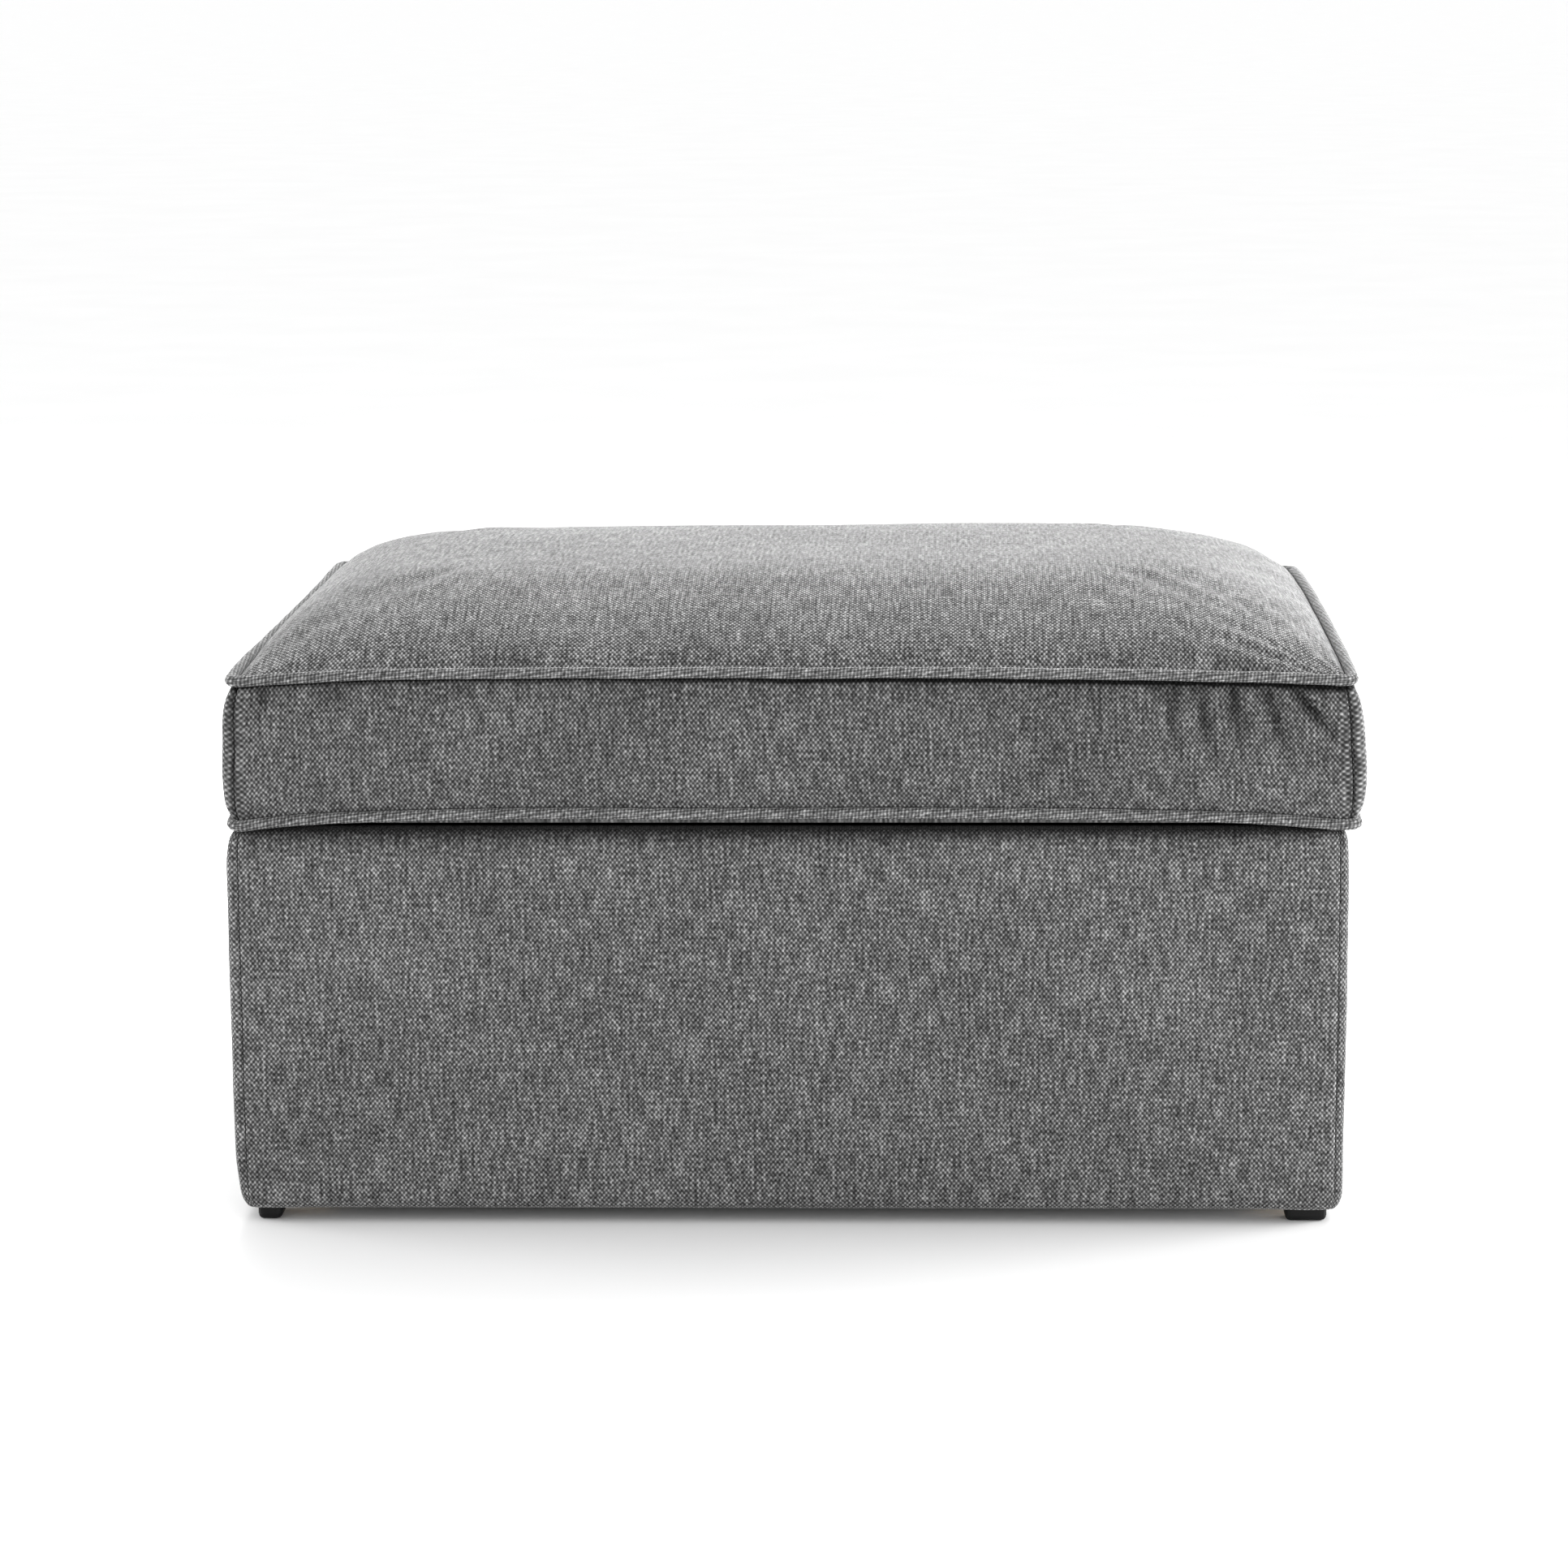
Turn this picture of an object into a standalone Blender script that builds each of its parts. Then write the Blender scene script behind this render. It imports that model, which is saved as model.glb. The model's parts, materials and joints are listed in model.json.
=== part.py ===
"""Storage ottoman: an upholstered box on four glides, closed by a padded lid on two back hinges.

Run with  blender --background --python part.py  or from Blender's text editor.
Metres, +Z up, front facing -Y, +X to the right, origin on the floor under the middle of the box.
The lid turns on an axis along X behind the box, and a slotted stay at each end stops it open.
"""

import math

import bmesh
import bpy
from mathutils import Matrix, Vector

# ---------------------------------------------------------------- driving dimensions, in metres
GAP = 0.0003  # air between neighbouring pieces
MITRE = 0.0002  # half the air in a mitred corner, measured along each strip

BOX_HALF_X, BOX_HALF_Y = 0.409, 0.298  # outer faces of the box's cover
HEM_Z = 0.0142  # underside of the cover
RIM_Z = 0.2979  # top of the cover, where it rolls over the panels

FABRIC = 0.0012  # upholstery cloth
LINING = 0.0008  # non-woven lining
WADDING = 0.005  # polyester wadding round the box
BOARD = 0.015  # side panels
FLOOR_BOARD = 0.006  # floor of the storage space
RAIL_HEIGHT, RAIL_WIDTH = 0.018, 0.045  # flat frame under the panels
RIM_TURN = 0.038  # how far the cover turns down inside the box
HEM_TURN = 0.0065  # how far the cover turns in under the box

LEAF = 0.0015  # hinge leaves and brackets
HINGE_Z = 0.300  # the lid's axis
HINGE_Y = BOX_HALF_Y + 0.0035
HINGE_X = 0.245  # middle of each hinge
HINGE_LENGTH, LEAF_DEPTH = 0.064, 0.0215
LEAF_SCREW_Y = HINGE_Y - 0.0135
KNUCKLE_R, BORE_R, PIN_R = 0.003, 0.0019, 0.0016

SEAM_HALF_X, SEAM_HALF_Y = 0.4066, 0.2958  # centre lines of both welts
WELT_R, WELT_CORNER_R = 0.0042, 0.005
WELT_LOW_Z, WELT_HIGH_Z = 0.308, 0.410
SIDE_BULGE = 0.0085  # how far the boxing swells at half height
CROWN = 0.058  # how far the cushion's top rises above its welt
SHOULDER = 0.16  # width of the rounded shoulder inside the welt
LID_BOARD = 0.012
TOP_WADDING = 0.012

STAY_R = 0.135  # distance of both stay pivots from the lid's axis
STAY_DROP = 0.014  # the lid pivot, below the lid's axis
STUD_ANGLE = math.radians(36)  # the box stud, below the horizontal through the axis
LID_OPEN = math.radians(85)
ARM_HALF_WIDTH, ARM_THICKNESS = 0.008, 0.002
SLOT_HALF_WIDTH, STUD_R, RIVET_R = 0.0035, 0.003, 0.002
SLOT_PLAY = 0.001  # free travel left at each end of the slot

FOOT_LONG, FOOT_SHORT = 0.031, 0.018
FOOT_INSET = 0.0115  # from the cover's outer face to a foot
FOOT_ROUND = 0.0042  # a foot's rounded edges
STEM_R = 0.004

# ---------------------------------------------------------------- sizes that follow from them
PANEL_OUT = FABRIC + GAP + WADDING + GAP  # depths are measured inwards from the cover's face
PANEL_IN = PANEL_OUT + BOARD
TURN_IN = PANEL_IN + GAP + FABRIC
LINING_IN = PANEL_IN + GAP + LINING
RAIL_Z0 = HEM_Z + FABRIC + GAP
RAIL_Z1 = RAIL_Z0 + RAIL_HEIGHT
PANEL_Z0, PANEL_Z1 = RAIL_Z1 + GAP, RIM_Z - FABRIC - GAP
FLOOR_Z = PANEL_Z0 + FLOOR_BOARD + GAP  # underside of the floor lining
TURN_Z = RIM_Z - RIM_TURN

LEAF_LOW_Z = HINGE_Z - GAP - LEAF  # underside of the box's leaf
LEAF_HIGH_Z = HINGE_Z + GAP  # underside of the lid's leaf
CLOTH_Z = LEAF_HIGH_Z + LEAF + GAP
LID_BOARD_Z = CLOTH_Z + LINING + GAP
FOAM_Z = LID_BOARD_Z + LID_BOARD + GAP
PAD_HALF_X = SEAM_HALF_X - WELT_R - 0.0006  # the crowned layers end inside the upper welt
PAD_HALF_Y = SEAM_HALF_Y - WELT_R - 0.0006
BOXING_HALF_X, BOXING_HALF_Y = SEAM_HALF_X + FABRIC / 2, SEAM_HALF_Y + FABRIC / 2

LID_PIVOT_U = math.sqrt(STAY_R**2 - STAY_DROP**2)  # in front of the axis
LID_PIVOT_ANGLE = math.atan2(STAY_DROP, LID_PIVOT_U)
STAY_SHUT = 2 * STAY_R * math.sin((STUD_ANGLE - LID_PIVOT_ANGLE) / 2)
STAY_OPEN = 2 * STAY_R * math.sin((STUD_ANGLE - LID_PIVOT_ANGLE + LID_OPEN) / 2)
ARM_X0 = BOX_HALF_X - LINING_IN - 0.0096  # inner face of the arm
ARM_X1 = ARM_X0 + ARM_THICKNESS
TAB_X0 = ARM_X1 + 0.0005  # inner face of the lid bracket's tab
TAB_X1 = TAB_X0 + LEAF

PILOT_R, SHANK_R = 0.0019, 0.0016  # wood screws
SIDES = {"front": 0, "right": 90, "back": 180, "left": 270}  # turns about Z, in degrees
CORNERS = ((1, 1), (-1, 1), (-1, -1), (1, -1))


# ---------------------------------------------------------------- building blocks
def clear_scene():
    for obj in list(bpy.data.objects):
        bpy.data.objects.remove(obj)


def material(name, colour, roughness, metallic=0.0):
    mat = bpy.data.materials.new(name)
    mat.use_nodes = True
    shader = mat.node_tree.nodes["Principled BSDF"]
    shader.inputs["Base Color"].default_value = (*colour, 1.0)
    shader.inputs["Roughness"].default_value = roughness
    shader.inputs["Metallic"].default_value = metallic
    return mat


def empty(name, location, parent=None):
    obj = bpy.data.objects.new(name, None)
    bpy.context.scene.collection.objects.link(obj)
    obj.parent = parent
    obj.location = Vector(location) - (parent.location if parent else Vector())
    return obj


def add(name, bm, mat=None, parent=None, smooth=False):
    """Turns bm, whose points are in world coordinates, into an object under parent."""
    bmesh.ops.recalc_face_normals(bm, faces=bm.faces)
    mesh = bpy.data.meshes.new(name)
    if parent:
        bmesh.ops.translate(bm, verts=bm.verts, vec=-parent.matrix_world.translation)
    bm.to_mesh(mesh)
    bm.free()
    if mat:
        mesh.materials.append(mat)
    if smooth:
        mesh.shade_smooth()
        mesh.set_sharp_from_angle(angle=math.radians(40))
    obj = bpy.data.objects.new(name, mesh)
    bpy.context.scene.collection.objects.link(obj)
    obj.parent = parent
    return obj


def cut(obj, bm, name):
    """Takes the closed shape bm, in world coordinates, out of obj."""
    cutter = add(f"{obj.name}_{name}_cutter", bm)
    cutter.hide_render = True
    cutter.display_type = "WIRE"
    modifier = obj.modifiers.new(name, "BOOLEAN")
    modifier.operation = "DIFFERENCE"
    modifier.object = cutter


def join(obj, bm, name):
    """Unites the closed shape bm with obj."""
    helper = add(f"{obj.name}_{name}_helper", bm)
    helper.hide_render = True
    helper.display_type = "WIRE"
    modifier = obj.modifiers.new(name, "BOOLEAN")
    modifier.operation = "UNION"
    modifier.object = helper


def block(bm, low, high):
    """Adds a box between two corners."""
    low, high = Vector(low), Vector(high)
    middle, size = (low + high) / 2, high - low
    matrix = Matrix.Translation(middle) @ Matrix.Diagonal((*size, 1.0))
    bmesh.ops.create_cube(bm, size=1.0, matrix=matrix)
    return bm


def turned(bm, profile, origin, direction, sides=10):
    """Adds a turned solid. profile lists (distance along direction, radius), end to end."""
    frame = Vector(direction).to_track_quat("Z", "Y").to_matrix().to_4x4()
    frame.translation = Vector(origin)
    rings = []
    for along, radius in profile:
        ring = []
        for k in range(sides):
            turn = 2 * math.pi * (k + 0.5) / sides
            point = Vector((radius * math.cos(turn), radius * math.sin(turn), along))
            ring.append(bm.verts.new(frame @ point))
        rings.append(ring)
    for a, b in zip(rings, rings[1:]):
        for k in range(sides):
            bm.faces.new((a[k], a[(k + 1) % sides], b[(k + 1) % sides], b[k]))
    bm.faces.new(rings[0])
    bm.faces.new(rings[-1])
    return bm


def prism(bm, outline, x0, x1):
    """Adds an outline of (y, z) points drawn out along X."""
    ends = [[bm.verts.new((x, y, z)) for y, z in outline] for x in (x0, x1)]
    for k in range(len(outline)):
        n = (k + 1) % len(outline)
        bm.faces.new((ends[0][k], ends[0][n], ends[1][n], ends[1][k]))
    bm.faces.new(ends[0])
    bm.faces.new(ends[1])
    return bm


def half_sizes(side, half_x, half_y):
    """(half length along the side, distance of the side from the middle)."""
    return (half_x, half_y) if side in ("front", "back") else (half_y, half_x)


def mitred_strip(name, section, side, mat):
    """A strip along one side of the box, from a closed section of (depth, z), mitred at both ends."""
    along, out = half_sizes(side, BOX_HALF_X, BOX_HALF_Y)
    bm = bmesh.new()
    ends = []
    for sign in (-1, 1):
        ring = [bm.verts.new((sign * (along - d - MITRE), d - out, z)) for d, z in section]
        ends.append(ring)
    for k in range(len(section)):
        n = (k + 1) % len(section)
        bm.faces.new((ends[0][k], ends[0][n], ends[1][n], ends[1][k]))
    bm.faces.new(ends[0])
    bm.faces.new(ends[1])
    bmesh.ops.rotate(bm, verts=bm.verts, matrix=Matrix.Rotation(math.radians(SIDES[side]), 3, "Z"))
    return add(name, bm, mat)


# ---------------------------------------------------------------- screws
def wood_screw(name, origin, direction, length, mat, parent=None):
    """A flat-head screw whose head lies flush at origin and whose tip points along direction."""
    profile = [(0.0001, 0.0032), (0.0014, SHANK_R), (length - 0.002, SHANK_R), (length, 0.0006)]
    return add(name, turned(bmesh.new(), profile, origin, direction, sides=8), mat, parent, smooth=True)


def countersink(bm, origin, direction):
    """The seat of a flat-head screw through a leaf."""
    return turned(bm, [(-0.0002, 0.0038), (0.0017, 0.0020)], origin, direction, sides=8)


def bore(bm, origin, direction, depth, radius=PILOT_R):
    return turned(bm, [(0, radius), (depth, radius)], origin, direction, sides=8)


# ---------------------------------------------------------------- the box
def box_frame(wood, board):
    """The flat bottom frame, the four side panels and the floor board."""
    out_x, out_y = BOX_HALF_X - PANEL_OUT, BOX_HALF_Y - PANEL_OUT
    in_x, in_y = BOX_HALF_X - PANEL_IN, BOX_HALF_Y - PANEL_IN
    rails, panels = {}, {}
    for side, sign in (("front", -1), ("back", 1)):
        inner_y = sign * (out_y - RAIL_WIDTH)
        bm = block(bmesh.new(), (-out_x, sign * out_y, RAIL_Z0), (out_x, inner_y, RAIL_Z1))
        rails[side] = add(f"bottom_rail_{side}", bm, wood)
        bm = block(bmesh.new(), (-out_x, sign * out_y, PANEL_Z0), (out_x, sign * in_y, PANEL_Z1))
        panels[side] = add(f"{side}_panel", bm, board)
    reach = out_y - RAIL_WIDTH - GAP
    for side, x0 in (("left", -out_x), ("middle", -RAIL_WIDTH / 2), ("right", out_x - RAIL_WIDTH)):
        bm = block(bmesh.new(), (x0, -reach, RAIL_Z0), (x0 + RAIL_WIDTH, reach, RAIL_Z1))
        rails[side] = add(f"bottom_rail_{side}", bm, wood)
    for side, sign in (("left", -1), ("right", 1)):
        bm = block(bmesh.new(), (sign * out_x, GAP - in_y, PANEL_Z0), (sign * in_x, in_y - GAP, PANEL_Z1))
        panels[side] = add(f"{side}_panel", bm, board)
    x, y = in_x - GAP, in_y - GAP
    add("bottom_panel", block(bmesh.new(), (-x, -y, PANEL_Z0), (x, y, PANEL_Z0 + FLOOR_BOARD)), board)
    return rails, panels


def wadding_wrap(mat):
    """One length of wadding all the way round the panels and the rails."""
    bm = bmesh.new()
    rings = []
    for depth in (FABRIC + GAP, FABRIC + GAP + WADDING):
        x, y = BOX_HALF_X - depth, BOX_HALF_Y - depth
        for z in (RAIL_Z0, PANEL_Z1):
            rings.append([bm.verts.new((sx * x, sy * y, z)) for sx, sy in CORNERS])
    for a, b in ((0, 1), (1, 3), (3, 2), (2, 0)):
        for k in range(4):
            n = (k + 1) % 4
            bm.faces.new((rings[a][k], rings[a][n], rings[b][n], rings[b][k]))
    add("wadding_wrap", bm, mat)


def lining_bag(mat):
    """The storage space's lining: a bag open at the top, hung from the panels."""
    x, y = BOX_HALF_X - PANEL_IN - GAP, BOX_HALF_Y - PANEL_IN - GAP
    bm = bmesh.new()
    rings = []
    for inset, z in ((0, FLOOR_Z), (0, TURN_Z - GAP), (LINING, TURN_Z - GAP), (LINING, FLOOR_Z + LINING)):
        rings.append([bm.verts.new((sx * (x - inset), sy * (y - inset), z)) for sx, sy in CORNERS])
    for a, b in zip(rings, rings[1:]):
        for k in range(4):
            bm.faces.new((a[k], a[(k + 1) % 4], b[(k + 1) % 4], b[k]))
    bm.faces.new(rings[0])
    bm.faces.new(rings[-1])
    return add("lining_bag", bm, mat)


def dust_cover(mat):
    """A cloth sheet under the frame, cut away round the feet."""
    x, y, notch = BOX_HALF_X - HEM_TURN - 0.001, BOX_HALF_Y - HEM_TURN - 0.001, 0.048
    outline = []
    for sx, sy in CORNERS:
        steps = [(x, y - notch), (x - notch, y - notch), (x - notch, y)]
        outline += [(sx * px, sy * py) for px, py in (steps if sx * sy > 0 else steps[::-1])]
    bm = bmesh.new()
    top = RAIL_Z0 - GAP
    ends = [[bm.verts.new((px, py, z)) for px, py in outline] for z in (top - LINING, top)]
    for k in range(len(outline)):
        n = (k + 1) % len(outline)
        bm.faces.new((ends[0][k], ends[0][n], ends[1][n], ends[1][k]))
    bm.faces.new(ends[0])
    bm.faces.new(ends[1])
    add("dust_cover", bm, mat)


def box_cover(cloth):
    """The cover's four sewn panels, turned over the rim and in under the frame."""
    section = [
        (HEM_TURN, HEM_Z),
        (0, HEM_Z),
        (0, RIM_Z),
        (TURN_IN, RIM_Z),
        (TURN_IN, TURN_Z),
        (TURN_IN - FABRIC, TURN_Z),
        (TURN_IN - FABRIC, RIM_Z - FABRIC),
        (FABRIC, RIM_Z - FABRIC),
        (FABRIC, HEM_Z + FABRIC),
        (HEM_TURN, HEM_Z + FABRIC),
    ]
    return {side: mitred_strip(f"base_cover_{side}", section, side, cloth) for side in SIDES}


def feet(rails, plastic):
    """Four moulded glides, each turned a quarter from the next, with a stem pressed into the frame."""
    holes = {"front": bmesh.new(), "back": bmesh.new()}
    top = RAIL_Z0 - GAP
    up = Vector((0, 0, 1))
    for name, sx, sy, long_x in (
        ("foot_front_left", -1, -1, False),
        ("foot_front_right", 1, -1, True),
        ("foot_back_right", 1, 1, False),
        ("foot_back_left", -1, 1, True),
    ):
        length_x, length_y = (FOOT_LONG, FOOT_SHORT) if long_x else (FOOT_SHORT, FOOT_LONG)
        outer = Vector((sx * (BOX_HALF_X - FOOT_INSET), sy * (BOX_HALF_Y - FOOT_INSET), 0))
        inner = outer - Vector((sx * length_x, sy * length_y, -top))
        foot = add(name, block(bmesh.new(), outer, inner), plastic, smooth=True)
        bevel = foot.modifiers.new("soft_edges", "BEVEL")
        bevel.width = FOOT_ROUND
        bevel.segments = 3
        centre = (outer + inner) / 2
        centre.z = top - 0.004
        stem = [(0, STEM_R), (0.016, STEM_R), (0.018, STEM_R - 0.001)]
        join(foot, turned(bmesh.new(), stem, centre, up, sides=8), "stem")
        bore(holes["front" if sy < 0 else "back"], centre + up * 0.003, up, 0.0155, STEM_R + GAP)
    for side, bm in holes.items():
        cut(rails[side], bm, "stem_holes")


# ---------------------------------------------------------------- the lid
def shoulder(distance):
    """0 at the seam, rising smoothly to 1 over the shoulder's width."""
    t = min(distance / SHOULDER, 1.0)
    return 1 - (1 - t) ** 2


def crown(x, y):
    """Rise of the cushion's top above its edge."""
    inside_x, inside_y = max(PAD_HALF_X - abs(x), 0), max(PAD_HALF_Y - abs(y), 0)
    return CROWN * shoulder(inside_x) * shoulder(inside_y)


def grid_lines(half, extra=()):
    """Grid positions across the cushion, close together on the shoulders."""
    steps = [0, 0.018, 0.042, 0.074, 0.112, SHOULDER]
    if half - SHOULDER > 0.18:
        steps.append((half + SHOULDER) / 2)
    side = [half - s for s in steps]
    side = list(extra) + side
    return [-v for v in side] + [0.0] + side[::-1]


def crowned_layer(name, edge_low, edge_high, mat, parent):
    """A layer of the cushion's top, both faces following the crown. Heights are those at its edge."""
    xs, ys = grid_lines(PAD_HALF_X), grid_lines(PAD_HALF_Y)
    bm = bmesh.new()
    faces = []
    for edge in (edge_low, edge_high):
        grid = [[bm.verts.new((x, y, edge + crown(x, y))) for y in ys] for x in xs]
        faces.append(grid)
        for i in range(len(xs) - 1):
            for j in range(len(ys) - 1):
                bm.faces.new((grid[i][j], grid[i + 1][j], grid[i + 1][j + 1], grid[i][j + 1]))
    low, high = (border(grid) for grid in faces)
    for k in range(len(low)):
        n = (k + 1) % len(low)
        bm.faces.new((low[k], low[n], high[n], high[k]))
    return add(name, bm, mat, parent, smooth=True)


def border(grid):
    """The outer loop of a grid of points, in order."""
    last_x, last_y = len(grid) - 1, len(grid[0]) - 1
    loop = [grid[i][0] for i in range(last_x)]
    loop += [grid[last_x][j] for j in range(last_y)]
    loop += [grid[i][last_y] for i in range(last_x, 0, -1)]
    loop += [grid[0][j] for j in range(last_y, 0, -1)]
    return loop


def boxing_heights():
    """Heights of the boxing's rows of points, seam to seam."""
    low, high = WELT_LOW_Z + WELT_R + GAP, WELT_HIGH_Z - WELT_R - GAP
    return [low + (high - low) * k / 4 for k in range(5)]


def side_bulge(along, half, z):
    """Outward swell of the boxing, nothing at the corners and the seams and straight between rows."""
    rows = boxing_heights()
    place = (z - rows[0]) / (rows[1] - rows[0])
    row = min(int(place), 3)
    low, high = (math.sin(math.pi * k / 4) for k in (row, row + 1))
    return SIDE_BULGE * (1 - (along / half) ** 4) * (low + (high - low) * (place - row))


def foam_block(name, top_edge, mat, parent):
    """The foam: flat below, sides that swell with the boxing, crowned top."""
    clear = FABRIC + 2 * GAP
    half_x, half_y = BOXING_HALF_X - clear, BOXING_HALF_Y - clear
    xs, ys = grid_lines(PAD_HALF_X, (half_x,)), grid_lines(PAD_HALF_Y, (half_y,))
    bm = bmesh.new()
    grid = [[bm.verts.new((x, y, top_edge + crown(x, y))) for y in ys] for x in xs]
    for i in range(len(xs) - 1):
        for j in range(len(ys) - 1):
            bm.faces.new((grid[i][j], grid[i + 1][j], grid[i + 1][j + 1], grid[i][j + 1]))
    upper = border(grid)
    for z in boxing_heights()[3:0:-1] + [FOAM_Z]:
        ring = []
        for vert in border(grid):
            x, y = vert.co.x, vert.co.y
            swell_x = side_bulge(y, half_y, z) if abs(x) > half_x - 1e-6 else 0
            swell_y = side_bulge(x, half_x, z) if abs(y) > half_y - 1e-6 else 0
            ring.append(bm.verts.new((x + math.copysign(swell_x, x), y + math.copysign(swell_y, y), z)))
        for k in range(len(ring)):
            n = (k + 1) % len(ring)
            bm.faces.new((upper[k], upper[n], ring[n], ring[k]))
        upper = ring
    bm.faces.new(upper)
    return add(name, bm, mat, parent, smooth=True)


def boxing(side, mat, parent):
    """One strip of the cushion's side, swelling outwards between its seams."""
    along, out = half_sizes(side, BOXING_HALF_X, BOXING_HALF_Y)
    pad_half, _ = half_sizes(side, PAD_HALF_X, PAD_HALF_Y)
    bm = bmesh.new()
    skins = []
    for depth in (0, FABRIC):
        half = along - depth - MITRE
        skin = []
        for s in grid_lines(pad_half, (half,)):
            column = [bm.verts.new((s, depth - out - side_bulge(s, half, z), z)) for z in boxing_heights()]
            skin.append(column)
        skins.append(skin)
        for a, b in zip(skin, skin[1:]):
            for j in range(len(a) - 1):
                bm.faces.new((a[j], b[j], b[j + 1], a[j + 1]))
    outer, inner = (border(skin) for skin in skins)
    for k in range(len(outer)):
        n = (k + 1) % len(outer)
        bm.faces.new((outer[k], outer[n], inner[n], inner[k]))
    bmesh.ops.rotate(bm, verts=bm.verts, matrix=Matrix.Rotation(math.radians(SIDES[side]), 3, "Z"))
    return add(f"boxing_{side}", bm, mat, parent, smooth=True)


def welt(name, z, mat, parent):
    """A piped edge round the whole cushion: one closed tube with small round corners."""
    steps = 4
    points = []
    for quarter, (sx, sy) in enumerate(((1, 1), (-1, 1), (-1, -1), (1, -1))):
        for k in range(steps + 1):
            turn = math.pi / 2 * (quarter + k / steps)
            x = sx * (SEAM_HALF_X - WELT_CORNER_R) + WELT_CORNER_R * math.cos(turn)
            y = sy * (SEAM_HALF_Y - WELT_CORNER_R) + WELT_CORNER_R * math.sin(turn)
            points.append(Vector((x, y, z)) - parent.matrix_world.translation)
    curve = bpy.data.curves.new(name, "CURVE")
    curve.dimensions = "3D"
    curve.bevel_depth = WELT_R
    curve.bevel_resolution = 2
    spline = curve.splines.new("POLY")
    spline.points.add(len(points) - 1)
    for point, place in zip(spline.points, points):
        point.co = (*place, 1.0)
    spline.use_cyclic_u = True
    curve.materials.append(mat)
    obj = bpy.data.objects.new(name, curve)
    bpy.context.scene.collection.objects.link(obj)
    obj.parent = parent
    return obj


def lid_body(axis, cloth, lining, board, wadding, foam, felt):
    """Everything in the padded lid apart from its metalwork."""
    half_x, half_y = PAD_HALF_X, PAD_HALF_Y
    bm = block(bmesh.new(), (-half_x, -half_y, LID_BOARD_Z), (half_x, half_y, LID_BOARD_Z + LID_BOARD))
    lid_board = add("lid_board", bm, board, axis)
    bm = block(bmesh.new(), (-half_x, -half_y, CLOTH_Z), (half_x, half_y, CLOTH_Z + LINING))
    underside = add("lid_underside_cloth", bm, lining, axis)
    sheet_edge = WELT_HIGH_Z
    wadding_edge = sheet_edge - FABRIC - GAP
    foam_edge = wadding_edge - TOP_WADDING - GAP
    crowned_layer("cushion_top", sheet_edge - FABRIC, sheet_edge, cloth, axis)
    crowned_layer("lid_wadding", wadding_edge - TOP_WADDING, wadding_edge, wadding, axis)
    foam_block("lid_foam", foam_edge, foam, axis)
    for side in SIDES:
        boxing(side, cloth, axis)
    welt("welt_upper", WELT_HIGH_Z, cloth, axis)
    welt("welt_lower", WELT_LOW_Z, cloth, axis)
    for side, sign in (("left", -1), ("right", 1)):
        start = (sign * (BOX_HALF_X - 0.03), TURN_IN / 2 - BOX_HALF_Y, RIM_Z + 2 * GAP)
        ends = [(0, 0.006), (CLOTH_Z - GAP - start[2], 0.006)]
        add(f"lid_bumper_{side}", turned(bmesh.new(), ends, start, (0, 0, 1)), felt, axis, smooth=True)
    return lid_board, underside


# ---------------------------------------------------------------- hinges
def hinge_leaf(name, mat, parent, centre, z0, knuckles, head_z):
    """A leaf, its knuckles along the axis and its screw seats. knuckles lists (start, end)."""
    half = HINGE_LENGTH / 2
    low = (centre - half, HINGE_Y - LEAF_DEPTH - KNUCKLE_R, z0)
    high = (centre + half, HINGE_Y - BORE_R - 0.0002, z0 + LEAF)
    leaf = add(name, block(bmesh.new(), low, high), mat, parent)
    edges = [-half - 0.001] + [v for pair in knuckles for v in pair] + [half + 0.001]
    notches = bmesh.new()
    for start, end in zip(edges[::2], edges[1::2]):
        if end - start > 0.0013:
            low = (centre + start, HINGE_Y - KNUCKLE_R - 0.0006, z0 - 0.001)
            block(notches, low, (centre + end, HINGE_Y, z0 + LEAF + 0.001))
    cut(leaf, notches, "notches")
    for k, knuckle in enumerate(knuckles):
        ends = [(along, KNUCKLE_R) for along in knuckle]
        bm = turned(bmesh.new(), ends, (centre, HINGE_Y, HINGE_Z), (1, 0, 0), sides=16)
        join(leaf, bm, f"knuckle_{k}")
    start = (centre - half - 0.001, HINGE_Y, HINGE_Z)
    ends = [(0, BORE_R), (HINGE_LENGTH + 0.002, BORE_R)]
    cut(leaf, turned(bmesh.new(), ends, start, (1, 0, 0), sides=12), "bore")
    seats = bmesh.new()
    for x in leaf_screws(centre):
        countersink(seats, (x, LEAF_SCREW_Y, head_z), (0, 0, 1 if head_z == z0 else -1))
    cut(leaf, seats, "screw_seats")


def leaf_screws(centre):
    return [centre - 0.02, centre + 0.02]


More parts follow.
